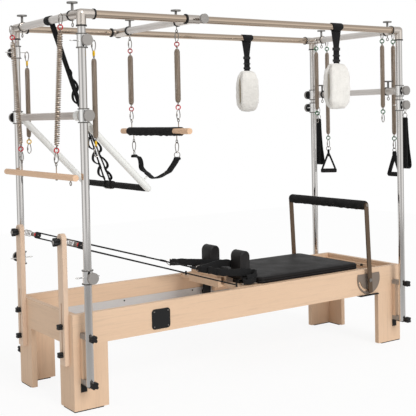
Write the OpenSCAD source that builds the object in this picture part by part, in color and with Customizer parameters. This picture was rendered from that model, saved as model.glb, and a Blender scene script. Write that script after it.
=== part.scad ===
// Trapeze table with a sliding carriage: a wooden box frame on four legs, a tube canopy over it,
// a carriage on wheels, and the springs, bars and straps that hang from the canopy.
// X runs along the table (the foot bar is at +X), Y across it, Z up from the floor.

/* [Wooden frame] */
// Overall length of the wooden frame
frame_l = 2440; // [2400:10:2480]
// Overall width of the wooden frame
frame_w = 704; // [696:2:712]
// Height of the rail tops above the floor
rail_top = 516; // [506:2:526]
// Height of the rail boards
rail_h = 168; // [164:1:172]
// Thickness of the frame boards
board_t = 32; // [30:0.5:34]
// Length of each leg along the table
leg_x = 204; // [180:2:230]
// Length of each leg across the table
leg_y = 164; // [140:2:190]
// Thickness of the rubber strips under the legs
foot_t = 6; // [4:0.5:8]
// Length by which each rubber strip stops short of the leg's edge
foot_short = 30; // [10:1:50]
// Width of the standing ledge inside the foot end board
ledge_w = 26; // [16:1:34]

/* [Side plate] */
// Length of the bare plate on the near rail
plate_l = 118; // [90:2:140]
// Height of the bare plate
plate_h = 112; // [90:2:130]
// Middle of the bare plate along the table
plate_x = -679; // [-720:5:-600]

/* [Carriage track] */
// Height of the angle track
track_h = 60; // [56:1:66]
// Width of the track ledge that the wheels roll on
track_ledge = 28; // [26:1:30]
// Thickness of the track metal
track_t = 3; // [2:0.5:3.5]
// Spacing of the track bolts
bolt_pitch = 514; // [400:2:560]

/* [Canopy tubes] */
// Outer diameter of the canopy tubes
tube_d = 42; // [41:0.2:43]
// Wall of the canopy tubes
tube_wall = 2; // [1.5:0.1:3]
// Distance from the frame's end to the upright's axis
pole_inset = 56; // [52:1:60]
// Distance from the rail's face to the upright's axis
pole_off = 76; // [74:1:78]
// Height of the canopy tube axes
canopy_z = 2083; // [2070:1:2100]
// Outer diameter of the corner sockets
socket_d = 50; // [49:0.2:51]
// Length of the socket along the table, from the upright's axis
socket_x = 76; // [66:1:90]
// Distance from the table's middle plane to the sockets' inner ends
socket_end = 310; // [304:1:316]
// Length of the socket down the upright
socket_z = 67; // [60:1:80]
// Outer diameter of the black end rings
ring_d = 56; // [54:0.5:58]
// Width of the black end rings
ring_w = 8; // [6:0.5:9]

/* [Upright clamps] */
// Height of the upper clamp blocks
clamp_top = 405; // [395:1:412]
// Height of the lower clamp blocks
clamp_low = 164; // [160:1:200]
// Height of a clamp block
clamp_h = 28; // [22:1:32]
// Width of a clamp block and of the batten between them
clamp_w = 30; // [26:1:34]
// Thickness of the battens
batten_t = 28; // [20:1:34]
// Diameter of a lobed knob
knob_d = 42; // [36:1:46]
// Thickness of a lobed knob
knob_t = 30; // [24:1:34]

/* [Sliding collars] */
// Diameter of the sliding collars
collar_d = 52; // [51:0.2:53]
// Height of the sliding collars
collar_h = 76; // [70:1:80]
// Diameter of the flanges at the collars' ends
flange_d = 61; // [58:0.5:62]
// Diameter of the disc knobs
disc_d = 60; // [54:1:64]
// Distance from the tube's axis to the face of a disc knob
disc_reach = 68; // [64:1:74]
// Height of the upper collars at the head end
slider_top_z = 1943; // [1930:1:1946]
// Height of the lower collars at the head end
slider_low_z = 722; // [715:1:740]
// Height of the loop collars at the foot end
slider_right_z = 1590; // [1580:1:1592]
// Height of the cross tube that carries the push-through bar
left_bar_z = 1558; // [1550:1:1570]
// Height of the cross tube at the foot end
right_bar_z = 1685; // [1682:1:1695]
// Diameter of the cross tubes on collars
cross_d = 40; // [39:0.2:41]

/* [Push-through bar] */
// Distance from the pivot to the hand bar
push_l = 571; // [555:1:580]
// Diameter of the arms
push_arm_d = 38; // [36:0.5:38.6]
// Distance from the table's middle plane to each arm's axis
push_arm_y = 376; // [374:0.5:377]
// Angle of the arms below level
push_angle = 45; // [42:1:48]
// Diameter of the padded hand bar
push_grip_d = 37; // [34:0.5:42]

/* [Trapeze] */
// Place of the trapeze along the table
trapeze_x = -480; // [-490:5:-420]
// Drop of the trapeze bar below the canopy tubes' axes
trapeze_drop = 623; // [608:1:633]
// Length of the trapeze bar
trapeze_l = 766; // [740:2:780]
// Diameter of the trapeze bar
trapeze_d = 35; // [33:0.5:37]
// Distance of the trapeze springs from the middle plane
trapeze_spring_y = 268; // [264:1:274]
// Diameter of the trapeze foam
foam_d = 48; // [45:0.5:54]
// Length of the trapeze foam
foam_l = 606; // [590:2:640]
// Drop of the sling eyes below the trapeze bar
sling_drop = 60; // [54:1:64]
// Distance of the sling eyes from the middle plane
sling_eye_y = 246; // [236:1:248]

/* [Roll-down bar] */
// Drop of the roll-down bar below the canopy tubes' axes
rolldown_drop = 843; // [831:1:847]
// Length of the roll-down bar
rolldown_l = 910; // [880:2:940]
// Diameter of the roll-down bar
rolldown_d = 34; // [32:0.5:36]
// Distance of the bar's eyes from the middle plane
rolldown_eye_y = 228; // [222:1:234]

/* [Springs and hooks] */
// Outer diameter of the roll-down springs
rolldown_spring_d = 31; // [28:0.5:33]
// Number of curls in a roll-down spring
rolldown_curls = 22; // [18:1:22]
// Outer diameter of the trapeze springs
trapeze_spring_d = 34; // [31:0.5:36]
// Outer diameter of the side springs
side_spring_d = 29; // [26:0.5:31]
// Length from pivot to hook of the side springs
side_spring_l = 595; // [560:1:600]
// Outer diameter of the foot end springs
arm_spring_d = 30; // [27:0.5:32]
// Length from pivot to hook of the short foot end springs
arm_spring_l = 598; // [560:1:605]
// Length from pivot to handle of the long foot end springs
handle_spring_l = 781; // [760:1:790]
// Wire of the rings and snap hooks
wire_d = 4.5; // [4.2:0.1:4.6]
// Wire of the fixed eyes
eye_wire = 5; // [4.6:0.1:5.2]
// Reach of the hook eyes at the head end, from the tube's axis
eye_reach_head = 67; // [64:0.5:69]
// Reach of the hook eyes at the foot end, from the tube's axis
eye_reach_foot = 52; // [51:0.5:54]
// Distance of the hook eyes and screws from the middle plane
eye_y = 328; // [326:0.5:331]

/* [Fleece loops] */
// Place of the near fleece loop along the table
fleece_near_x = 604; // [580:2:640]
// Place of the far fleece loop along the table
fleece_far_x = 552; // [530:2:600]
// Width of the hanging strap
fleece_strap_w = 48; // [40:1:56]
// Drop of the fleece's upper end below the canopy tubes' axes
fleece_drop = 225; // [208:1:238]
// Height of the fleece
fleece_h = 288; // [270:1:300]
// Width of the fleece along the table
fleece_w = 146; // [126:2:152]
// Depth of the fleece across the table
fleece_d = 94; // [84:2:100]

/* [Rope risers] */
// Width of a riser post
post_w = 62; // [58:1:66]
// Thickness of a riser post
post_t = 26; // [22:1:30]
// Height of a riser post's top
post_top = 940; // [930:1:950]
// Height of a riser post's lower end
post_low = 241; // [225:1:250]
// Distance of the posts' axes from the middle plane
post_y = 276; // [274:1:278]
// Height of the pulley bolts
pulley_z = 897; // [892:1:905]
// Height of the upper riser clamp knob
riser_clamp_top = 447; // [440:1:455]
// Height of the lower riser clamp knob
riser_clamp_low = 298; // [290:1:305]
// Travel of the risers
riser_travel = 120; // [100:5:125]
// Groove radius of the sheaves
sheave_r = 11; // [10:0.2:11.4]

/* [Carriage] */
// Length of the padded top
pad_l = 837; // [800:2:845]
// Width of the padded top
pad_w = 610; // [590:2:612]
// Thickness of the padded top
pad_t = 42; // [36:1:46]
// Place of the padded top's head end
pad_x = 60; // [58:1:66]
// Thickness of the carriage deck
deck_t = 15; // [12:0.5:18]
// Middle of the shoulder rests along the table
shoulder_x = 22; // [20:1:23]
// Distance of the shoulder rests from the middle plane
shoulder_y = 160; // [157:1:163]
// Thickness of a shoulder rest along the table
shoulder_t = 72; // [66:1:72]
// Width of a shoulder rest
shoulder_w = 105; // [96:1:108]
// Height of the shoulder rests' tops
shoulder_top = 711; // [700:1:720]
// Width of the head rest
headrest_w = 292; // [280:2:300]
// Length of the head rest's wide part
headrest_l = 94; // [86:1:95]
// Thickness of the head rest
headrest_t = 55; // [45:1:58]
// Wheel radius
wheel_r = 25; // [24:0.2:25.4]
// Wheel width
wheel_w = 17; // [15:0.5:18]
// Place of the head end wheels along the table
wheel_x1 = 75; // [60:1:90]
// Place of the foot end wheels along the table
wheel_x2 = 820; // [800:1:830]
// Number of carriage springs
spring_count = 5; // [3:1:5]

/* [Foot bar] */
// Place of the foot bar pivot along the table
foot_pivot_x = 916; // [910:1:922]
// Height of the foot bar pivot
foot_pivot_z = 447; // [443:1:449]
// Height of the roller above the pivot
foot_bar_h = 493; // [480:1:500]
// Lean of the roller towards the head end
foot_lean = 24; // [20:1:28]
// Diameter of the foam roller
foot_grip_d = 60; // [54:1:64]
// Distance of the foot bar arms from the middle plane
foot_arm_y = 380; // [379:0.5:383]
// Width of the foot bar arms
foot_arm_w = 33; // [30:1:36]
// Thickness of the foot bar arms
foot_arm_t = 8; // [6:0.5:8]
// Radius of the notch arc about the pivot
notch_r = 70; // [66:1:74]

/* [Hidden] */
$fn = 48;

// Clearance of a sliding or turning fit, on the radius
fit = 0.1;
// Clearance between soft or hanging pieces
seat = 0.3;
// Clearance of a hanging hook on its eye
hang = 0.6;

rail_in = frame_w / 2 - board_t;
rail_out = frame_w / 2;
rail_low = rail_top - rail_h;
end_in = frame_l / 2 - board_t;
pole_x = frame_l / 2 - pole_inset;
pole_y = frame_w / 2 + pole_off;
// The uprights stand on the shelves of the stops under the lower clamps
pole_low = clamp_low - clamp_h / 2;
// Free space inside a corner fitting, from the crossing of the axes to the tube ends
corner_void = tube_d / 2 + 3;

wood = "burlywood";
steel = "silver";
black = [0.12, 0.12, 0.13];
coil_grey = [0.56, 0.5, 0.45];

// Eye and link sizes
eye_r = 9.5;
cara_l = 66;
cara_w = 28;
link_r = (cara_w - wire_d) / 2;
ring_r = 12.75;
loop_r = 7;
link_gap = 0.3;
// Length of hook, ring and loop between a pivot and the spring's body
hook_l = 98;

module mirror_y() {
  children();
  mirror([0, 1, 0]) children();
}
module mirror_x() {
  children();
  mirror([1, 0, 0]) children();
}
// Rod along X or Y, centred
module rod_x(d, l) rotate([0, 90, 0]) cylinder(d = d, h = l, center = true);
module rod_y(d, l) rotate([90, 0, 0]) cylinder(d = d, h = l, center = true);
// Rings by the axis that they turn about
module ring_z(r, w) rotate_extrude() translate([r, 0]) circle(d = w, $fn = 24);
module ring_x(r, w) rotate([0, 90, 0]) ring_z(r, w);
module ring_y(r, w) rotate([90, 0, 0]) ring_z(r, w);
module ring_turned(r, w) rotate([0, 0, 45]) ring_y(r, w);

// Long link in the XZ plane, hanging down from the middle of its upper wire
module link(l, w, wire) {
  r = (w - wire) / 2;
  leg = l - w;
  translate([0, 0, -r]) rotate([90, 0, 0])
    rotate_extrude(angle = 180) translate([r, 0]) circle(d = wire, $fn = 24);
  translate([0, 0, -r - leg]) rotate([-90, 0, 0])
    rotate_extrude(angle = 180) translate([r, 0]) circle(d = wire, $fn = 24);
  for (s = [-1, 1])
    translate([s * r, 0, -r - leg]) cylinder(d = wire, h = leg, $fn = 24);
}

// Steps of a sweep: unit vectors and the ring of points round one path point
function unit(v) = v / norm(v);
function tangent(p, i, closed) =
  let (n = len(p), a = closed ? p[(i + n - 1) % n] : p[max(i - 1, 0)],
       b = closed ? p[(i + 1) % n] : p[min(i + 1, n - 1)])
  unit(b - a);
function side_of(t, up) = unit(cross(up, t));
function ring_points(c, t, up, shape, wide) =
  let (s = side_of(t, up), u = cross(t, s)) [for (q = shape) c + s * q[0] + u * q[1] * wide];
// Solid swept along a path; all faces are triangles. up is one vector or one for each path point,
// wide scales the cross section along up at each path point
module sweep(path, shape, up = [0, 0, 1], closed = false, wide = []) {
  n = len(path);
  m = len(shape);
  pts = [for (i = [0 : n - 1]) each ring_points(path[i], tangent(path, i, closed),
    is_list(up[0]) ? up[i] : up, shape, len(wide) > 0 ? wide[i] : 1)];
  last = closed ? n - 1 : n - 2;
  walls = [for (i = [0 : last]) for (j = [0 : m - 1])
    let (a = i * m + j, b = i * m + (j + 1) % m,
         c = ((i + 1) % n) * m + (j + 1) % m, d = ((i + 1) % n) * m + j)
    each [[a, c, b], [a, d, c]]];
  caps = closed ? [] : [for (j = [1 : m - 2])
    each [[0, j, j + 1], [(n - 1) * m, (n - 1) * m + j + 1, (n - 1) * m + j]]];
  polyhedron(pts, concat(walls, caps));
}
function round_shape(d, n) = [for (i = [0 : n - 1]) [cos(360 * i / n), sin(360 * i / n)] * d / 2];
function flat_shape(w, t) = [[-t / 2, -w / 2], [t / 2, -w / 2], [t / 2, w / 2], [-t / 2, w / 2]];

// Helix that starts and ends straight along Z, for a wound spring
coil_rings = 8;
function helix(l, r, curls, lead) = concat(
  [[0, 0, 0], [0, 0, -lead / 2]],
  [for (i = [0 : curls * coil_rings])
    let (k = i / (curls * coil_rings), grow = min(1, min(k, 1 - k) * curls),
         a = 360 * curls * k)
    [r * grow * cos(a), r * grow * sin(a), -lead - (l - 2 * lead) * k]],
  [[0, 0, -l + lead / 2], [0, 0, -l]]);
// Outward directions at the points of a helix
function helix_ups(curls) = concat([[1, 0, 0], [1, 0, 0]],
  [for (i = [0 : curls * coil_rings]) [cos(360 * i / coil_rings), sin(360 * i / coil_rings), 0]],
  [[1, 0, 0], [1, 0, 0]]);
// Least distance between turns of a helix, less the wire, for the echo
function helix_gap(p, wire) = min([for (i = [2 : len(p) - 3]) for (j = [i + 5 : 1 : min(i + 12, len(p) - 3)])
  norm(p[i] - p[j])]) - wire;

// Close-wound spring body with drawn-in ends, hanging from the origin
module barrel(l, d, neck) {
  taper = d * 0.6;
  end_d = 10;
  translate([0, 0, -neck]) cylinder(d = wire_d, h = neck);
  translate([0, 0, -neck - taper]) cylinder(d1 = d, d2 = end_d, h = taper);
  translate([0, 0, -l + neck + taper]) cylinder(d = d, h = l - 2 * neck - 2 * taper);
  translate([0, 0, -l + neck]) cylinder(d1 = end_d, d2 = d, h = taper);
  translate([0, 0, -l]) cylinder(d = wire_d, h = neck);
}

// Hook end of a spring, down from the pivot: snap hook, coloured ring and wire loop
hook_top = (eye_wire + wire_d) / 2 + hang;
ring_top = hook_top - cara_l + wire_d + wire_d + link_gap;
ring_mid = ring_top - ring_r;
loop_top = ring_mid - ring_r + wire_d + link_gap;
loop_mid = loop_top - loop_r;
loop_low = loop_mid - loop_r;
module hook_end() {
  translate([0, 0, hook_top]) link(cara_l, cara_w, wire_d);
  translate([0, 0, ring_mid]) ring_turned(ring_r, wire_d);
  translate([0, 0, loop_mid]) ring_x(loop_r, wire_d);
}
// Whole spring between two pivots, l apart, hanging from the origin
module spring_line(l, d) {
  color(coil_grey) {
    hook_end();
    translate([0, 0, loop_low]) barrel(l + 2 * loop_low, d, hook_l + loop_low);
    translate([0, 0, -l]) mirror([0, 0, 1]) hook_end();
  }
}

// Eye bolt with the ring's middle at the origin and its shank up
module eye_up(shank, shank_d = 6) {
  ring_x(eye_r, eye_wire);
  translate([0, 0, eye_r]) cylinder(d = shank_d, h = shank);
}
// Level eye whose outer wire lies at distance reach along +X from the origin
module eye_side(reach, from) {
  translate([reach - eye_r, 0, 0]) ring_z(eye_r, eye_wire);
  translate([from, 0, 0]) rotate([0, 90, 0]) cylinder(d = 6, h = reach - 2 * eye_r - from);
}
// Hand screw with a disc top, standing up from the origin
tee_h = 70;
module tee_screw() {
  cylinder(d = 14, h = tee_h - 4);
  translate([0, 0, tee_h - 8]) cylinder(d = 58, h = 8);
}
// Lobed knob along +Z, standing on the origin
module lobed_knob() {
  lobes = 4;
  lobe_d = knob_d * 0.42;
  linear_extrude(height = knob_t) union() {
    circle(d = knob_d * 0.62);
    for (i = [0 : lobes - 1]) rotate(45 + 360 * i / lobes)
      translate([(knob_d - lobe_d) / 2, 0]) circle(d = lobe_d);
  }
}

// Frame boards
module side_rails() {
  color(wood) mirror_y() translate([-frame_l / 2, rail_in, rail_low])
    cube([frame_l, board_t, rail_h]);
}
ledge_z = rail_top - 44;
ledge_t = 17;
module end_boards() {
  color(wood) {
    mirror_x() translate([end_in, -rail_in, rail_low]) cube([board_t, 2 * rail_in, rail_h]);
    translate([end_in - ledge_w, -rail_in, ledge_z]) cube([ledge_w, 2 * rail_in, ledge_t]);
  }
}
module leg_boards() {
  leg_h = rail_low - foot_t;
  color(wood) mirror_x() mirror_y() {
    translate([frame_l / 2 - leg_x, rail_in, foot_t]) cube([leg_x, board_t, leg_h]);
    translate([end_in, rail_out - leg_y, foot_t]) cube([board_t, leg_y - board_t, leg_h]);
  }
}
bumper_y = 59;
module rubber_pads() {
  edge = 2;
  color(black) {
    mirror_x() mirror_y() translate([frame_l / 2, rail_out, 0]) {
      translate([-leg_x + foot_short, -board_t + edge, 0])
        cube([leg_x - foot_short - edge, board_t - 2 * edge, foot_t]);
      translate([-board_t + edge, -leg_y + foot_short, 0])
        cube([board_t - 2 * edge, leg_y - foot_short - board_t + edge, foot_t]);
    }
    translate([end_in - ledge_w, -bumper_y, ledge_z + ledge_t / 2]) rotate([0, -90, 0])
      cylinder(d = ledge_t - 2, h = 14);
  }
}

// Carriage tracks: on each side a wall strip with bolt heads and a ledge strip at its foot
track_z = rail_low + 3;
track_end = end_in - 4;
bolt_x0 = -536;
bolt_head = 3;
module carriage_tracks() {
  wall_y = rail_in - track_t;
  color(steel) mirror_y() {
    translate([-track_end, wall_y, track_z]) cube([2 * track_end, track_t, track_h]);
    translate([-track_end, wall_y - track_ledge, track_z]) cube([2 * track_end, track_ledge - fit, track_t]);
    for (i = [-1 : 3]) translate([bolt_x0 + i * bolt_pitch, wall_y, track_z + track_h - 14])
      rotate([90, 0, 0]) cylinder(d = 10, h = bolt_head);
  }
}

module side_plate() {
  t = 4;
  corner = 18;
  inset = 14;
  mid_z = rail_top - rail_h / 2 - 10;
  color(black) translate([plate_x, -rail_out, mid_z]) rotate([90, 0, 0]) {
    linear_extrude(height = t) union() {
      square([plate_l - 2 * corner, plate_h], center = true);
      square([plate_l, plate_h - 2 * corner], center = true);
      for (sx = [-1, 1]) for (sy = [-1, 1])
        translate([sx * (plate_l / 2 - corner), sy * (plate_h / 2 - corner)]) circle(r = corner);
    }
    for (sx = [-1, 1]) for (sy = [-1, 1])
      translate([sx * (plate_l / 2 - inset), sy * (plate_h / 2 - inset), t]) cylinder(d = 8, h = 2);
  }
}

// Upright mounts
module pole_battens() {
  low = clamp_low + clamp_h / 2;
  color(wood) mirror_x() mirror_y() translate([pole_x - clamp_w / 2, rail_out, low])
    cube([clamp_w, batten_t, clamp_top - clamp_h / 2 - low]);
}
stop_w = 35;
stop_h = 47;
stop_t = 4;
stud_d = 10;
module pole_brackets() {
  mirror_x() mirror_y() {
    color(steel) for (z = [clamp_low, clamp_top]) difference() {
      translate([pole_x - clamp_w / 2, rail_out, z - clamp_h / 2]) cube([clamp_w, pole_off, clamp_h]);
      translate([pole_x, pole_y, z - clamp_h]) cylinder(d = tube_d + 2 * fit, h = 2 * clamp_h);
      translate([pole_x, rail_out + pole_off / 2, z]) rod_y(stud_d + 2 * fit, pole_off + 1);
    }
    color(black) translate([pole_x - stop_w / 2, rail_out, pole_low]) {
      translate([0, 0, -stop_h]) cube([stop_w, stop_t, stop_h]);
      translate([0, 0, -stop_t]) cube([stop_w, pole_off + tube_d / 2 - 2, stop_t]);
      translate([stop_w / 2, stop_t, -stop_h / 2]) rotate([-90, 0, 0]) cylinder(d = 10, h = 2);
    }
  }
}
// Clamp knobs of the uprights, and the lower clamp knobs of the riser posts
knob_y = pole_y + tube_d / 2 + 9;
post_x = -frame_l / 2 - seat;
module clamp_knobs() {
  color(black) {
    mirror_x() mirror_y() for (z = [clamp_low, clamp_top])
      translate([pole_x, rail_out, z]) rotate([-90, 0, 0]) {
        cylinder(d = stud_d, h = knob_y - rail_out);
        translate([0, 0, knob_y - rail_out]) lobed_knob();
      }
    mirror_y() for (z = [riser_clamp_low, riser_clamp_top])
      translate([-frame_l / 2, post_y, z]) rotate([0, -90, 0]) {
        cylinder(d = stud_d, h = post_t + 2 * seat);
        translate([0, 0, post_t + 2 * seat]) scale(0.8) lobed_knob();
      }
  }
}

// Canopy
module tube_wall_cut(l) cylinder(d = tube_d - 2 * tube_wall, h = l + 2, center = true);
module canopy_tube(l) difference() {
  cylinder(d = tube_d, h = l, center = true);
  tube_wall_cut(l);
}
module uprights() {
  l = canopy_z - corner_void - pole_low;
  color(steel) mirror_x() mirror_y() difference() {
    translate([pole_x, pole_y, pole_low + l / 2]) canopy_tube(l);
    for (z = [clamp_low, clamp_top]) translate([pole_x, pole_y, z]) rod_y(stud_d + 2 * fit, tube_d + 4);
  }
}
module top_tubes() {
  color("tan") mirror_y() translate([0, pole_y, canopy_z]) rotate([0, 90, 0])
    canopy_tube(2 * (pole_x - corner_void));
}
module top_cross_tubes() {
  color("lightgray") mirror_x() translate([pole_x, 0, canopy_z]) rotate([90, 0, 0])
    canopy_tube(2 * (pole_y - corner_void));
}
// Three-way corner fitting; its tubes run down, towards -X and towards -Y from the origin
module corner_fitting() {
  bore = tube_d + 2 * fit;
  reach_y = pole_y - socket_end;
  difference() {
    union() {
      sphere(d = socket_d);
      translate([0, 0, -socket_z]) cylinder(d = socket_d, h = socket_z);
      rotate([0, -90, 0]) cylinder(d = socket_d, h = socket_x);
      rotate([90, 0, 0]) cylinder(d = socket_d, h = reach_y);
    }
    translate([0, 0, -socket_z - 1]) cylinder(d = bore, h = socket_z + 1 - corner_void);
    translate([-socket_x - 1, 0, 0]) rotate([0, 90, 0]) cylinder(d = bore, h = socket_x + 1 - corner_void);
    translate([0, -reach_y - 1, 0]) rotate([-90, 0, 0]) cylinder(d = bore, h = reach_y + 1 - corner_void);
  }
}
module corner_fittings() {
  color("gainsboro") mirror_x() mirror_y() translate([pole_x, pole_y, canopy_z]) corner_fitting();
}
module end_ring(inner) difference() {
  cylinder(d = ring_d, h = ring_w);
  translate([0, 0, -1]) cylinder(d = inner + 2 * fit, h = ring_w + 2);
}
module socket_rings() {
  color(black) mirror_x() mirror_y() translate([pole_x, pole_y, canopy_z]) {
    translate([0, 0, -socket_z]) end_ring(socket_d);
    translate([-socket_x, 0, 0]) rotate([0, 90, 0]) end_ring(socket_d);
    translate([0, socket_end - pole_y, 0]) rotate([-90, 0, 0]) end_ring(socket_d);
  }
}
// Hand screws, the eye bolts under them and the side eyes, seated on the sockets
eye_drop = 50;
module tee_and_eye() {
  tee_screw();
  translate([0, 0, -eye_drop]) eye_up(eye_drop - eye_r);
}
module tee_screws() {
  from = socket_d / 2 - 3;
  color(steel) {
    mirror_x() mirror_y() translate([pole_x, eye_y, canopy_z]) difference() {
      tee_and_eye();
      rod_y(socket_d + fit, 40);
    }
    mirror_y() {
      translate([-pole_x, eye_y, canopy_z]) difference() {
        rotate([0, 0, 180]) eye_side(eye_reach_head, from);
        rod_y(socket_d + fit, 40);
      }
      translate([pole_x, eye_y, canopy_z]) difference() {
        mirror_x() eye_side(eye_reach_foot, from);
        rod_y(socket_d + fit, 40);
      }
    }
  }
}

// Collar that slides on an upright, with its clamp knob towards +Y
module collar() {
  flange_t = 6;
  disc_t = 18;
  difference() {
    union() {
      cylinder(d = collar_d, h = collar_h, center = true);
      for (s = [-1, 1]) translate([0, 0, s * (collar_h - flange_t) / 2])
        cylinder(d = flange_d, h = flange_t, center = true);
      rotate([-90, 0, 0]) cylinder(d = 16, h = disc_reach);
      translate([0, disc_reach - disc_t, 0]) rotate([-90, 0, 0]) cylinder(d = disc_d, h = disc_t);
    }
    cylinder(d = tube_d + 2 * fit, h = collar_h + 2, center = true);
  }
}
module collar_eyes(reach) {
  difference() {
    mirror_x() eye_side(reach, collar_d / 2 - 3);
    cylinder(d = collar_d, h = 20, center = true);
  }
}
module collar_pair(x, z, reach) {
  color(steel) mirror_y() translate([x, pole_y, z]) {
    collar();
    if (reach > 0) collar_eyes(reach);
  }
}
module sliders_top_left() collar_pair(-pole_x, slider_top_z, eye_reach_head);
module sliders_low_left() collar_pair(-pole_x, slider_low_z, eye_reach_head);
module sliders_right() collar_pair(pole_x, slider_right_z, eye_reach_foot);

// Cross tube between two collars, from wall to wall of the collars' bores
module collar_cross_tube(d, wall) {
  l = 2 * (pole_y - collar_d / 2 + 2);
  difference() {
    rod_y(d, l);
    rod_y(d - 2 * wall, l - 12);
    mirror_y() translate([0, pole_y, 0]) cylinder(d = tube_d + 2 * fit, h = d + 2, center = true);
  }
}
module left_crossbar() {
  collar_pair(-pole_x, left_bar_z, 0);
  color("lightgray") translate([-pole_x, 0, left_bar_z]) collar_cross_tube(cross_d, tube_wall);
}
// Foot end cross tube with sleeve stubs, black rings, hand screws and eye bolts
module right_crossbar() {
  stub_d = cross_d + 8;
  collar_pair(pole_x, right_bar_z, 0);
  translate([pole_x, 0, right_bar_z]) {
    color("lightgray") collar_cross_tube(cross_d, tube_wall);
    mirror_y() {
      color(steel) translate([0, socket_end, 0]) rotate([-90, 0, 0]) difference() {
        cylinder(d = stub_d, h = pole_y - flange_d / 2 - 2 - socket_end);
        translate([0, 0, -1]) cylinder(d = cross_d + 2 * fit, h = pole_y);
      }
      color(black) translate([0, socket_end, 0]) rotate([-90, 0, 0]) end_ring(stub_d);
      color(steel) translate([0, eye_y, 0]) difference() {
        tee_and_eye();
        rod_y(stub_d + fit, 40);
      }
    }
  }
}

// Push-through bar, swinging about the left cross tube
push_cross = 26;
push_hub_d = 54;
push_hub_w = 2 * (pole_y - flange_d / 2 - 2.5 - push_arm_y);
module push_place() translate([-pole_x, 0, left_bar_z]) rotate([0, push_angle, 0]) children();
module push_bar() {
  eye_along = 522;
  eye_up_arm = push_arm_d / 2 + 16;
  push_place() {
    color("whitesmoke") mirror_y() translate([0, push_arm_y, 0]) difference() {
      union() {
        rod_y(push_hub_d, push_hub_w);
        rotate([0, 90, 0]) cylinder(d = push_arm_d, h = push_l);
        translate([push_l, 0, 0]) sphere(d = push_arm_d);
      }
      rod_y(cross_d + 2 * fit, push_hub_w + 2);
    }
    color(steel) {
      translate([push_l, 0, 0]) difference() {
        rod_y(push_cross, 2 * push_arm_y);
        mirror_y() translate([0, push_arm_y, 0]) sphere(d = push_arm_d + fit);
      }
      translate([eye_along, -push_arm_y, 0]) difference() {
        translate([0, 0, eye_up_arm]) mirror([0, 0, 1]) eye_up(eye_up_arm - eye_r);
        rod_x(push_arm_d + fit, 60);
      }
    }
  }
}
push_grip_l = 2 * (push_arm_y - push_arm_d / 2) - 2 * seat;
module push_grip() {
  push_place() translate([push_l, 0, 0]) color(black) difference() {
    rod_y(push_grip_d, push_grip_l);
    rod_y(push_cross + 2 * fit, push_grip_l + 2);
  }
}

// Trapeze: a cross tube on two sleeves that slide along the top tubes
bar_eye_top = 52;
module trapeze_carrier() {
  sleeve_l = 92;
  bore = tube_d + 2 * fit;
  disc_t = 16;
  translate([trapeze_x, 0, canopy_z]) {
    mirror_y() translate([0, pole_y, 0]) {
      color(steel) difference() {
        union() {
          rod_x(socket_d, sleeve_l);
          rotate([90, 0, 0]) cylinder(d = socket_d, h = pole_y - trapeze_spring_y - 8);
          translate([sleeve_l / 2 - 4, 0, 0]) rotate([-90, 0, 0]) cylinder(d = 14, h = disc_reach - 6);
          translate([sleeve_l / 2 - 4, disc_reach - disc_t, 0]) rotate([-90, 0, 0])
            cylinder(d = disc_d - 6, h = disc_t);
        }
        rod_x(bore, sleeve_l + disc_t);
        translate([0, trapeze_spring_y - pole_y, 0]) rod_y(bore, 2 * (pole_y - trapeze_spring_y - corner_void));
      }
      color(black) translate([-sleeve_l / 2 - 0.0, 0, 0]) rotate([0, 90, 0]) end_ring(socket_d);
      color(black) translate([0, trapeze_spring_y + 8 - pole_y, 0]) rotate([-90, 0, 0]) end_ring(socket_d);
    }
    color("lightgray") rotate([90, 0, 0]) canopy_tube(2 * (pole_y - corner_void));
    color(steel) mirror_y() translate([0, trapeze_spring_y - 4, 0]) difference() {
      union() {
        tee_screw();
        translate([0, 4, -bar_eye_top]) eye_up(bar_eye_top - eye_r);
      }
      rod_y(tube_d + fit, 60);
    }
  }
}
// Heights of what hangs from the canopy
trapeze_z = canopy_z - trapeze_drop;
sling_eye_z = trapeze_z - sling_drop;
rolldown_z = canopy_z - rolldown_drop;
// Pivot of the trapeze springs: the lower wire of the carrier's eyes
trapeze_pivot_z = canopy_z - bar_eye_top - eye_r;
// Ring middles of the eyes that stand on the two bars
trapeze_bar_eye = trapeze_z + 63;
rolldown_bar_eye = rolldown_z + 64;
module trapeze_springs() {
  mirror_y() translate([trapeze_x, trapeze_spring_y, trapeze_pivot_z])
    spring_line(trapeze_pivot_z - trapeze_bar_eye - eye_r, trapeze_spring_d);
}
// Dowel with eye bolts through it and nuts under it, centred on its axis
module bar_with_eyes(l, d, ys, eye_z, nut_z) {
  color(wood) difference() {
    rod_y(d, l);
    for (y = ys) translate([0, y, 0]) cylinder(d = 6 + 2 * fit, h = d + 2, center = true);
  }
  color(steel) for (y = ys) translate([0, y, 0]) {
    translate([0, 0, eye_z]) mirror([0, 0, 1]) eye_up(eye_z - eye_r - nut_z);
    translate([0, 0, nut_z - 5]) cylinder(d = 12, h = 6);
  }
}
module trapeze_bar() {
  sling_shank = trapeze_z - sling_eye_z;
  translate([trapeze_x, 0, trapeze_z]) {
    color(wood) difference() {
      rod_y(trapeze_d, trapeze_l);
      mirror_y() {
        translate([0, trapeze_spring_y, 0]) cylinder(d = 6 + 2 * fit, h = 60);
        translate([0, sling_eye_y, -60]) cylinder(d = 6 + 2 * fit, h = 60);
      }
    }
    color(steel) mirror_y() {
      translate([0, trapeze_spring_y, trapeze_bar_eye - trapeze_z]) mirror([0, 0, 1])
        eye_up(trapeze_bar_eye - trapeze_z - eye_r);
      translate([0, sling_eye_y, -sling_shank]) eye_up(sling_shank - eye_r);
    }
  }
}
module trapeze_foam() {
  color(black) translate([trapeze_x, 0, trapeze_z]) difference() {
    rod_y(foam_d, foam_l);
    rod_y(trapeze_d + 2 * fit, foam_l + 2);
    mirror_y() {
      translate([0, trapeze_spring_y, 0]) cylinder(d = 7, h = 60);
      translate([0, sling_eye_y, -60]) cylinder(d = 7, h = 60);
    }
  }
}
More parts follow.
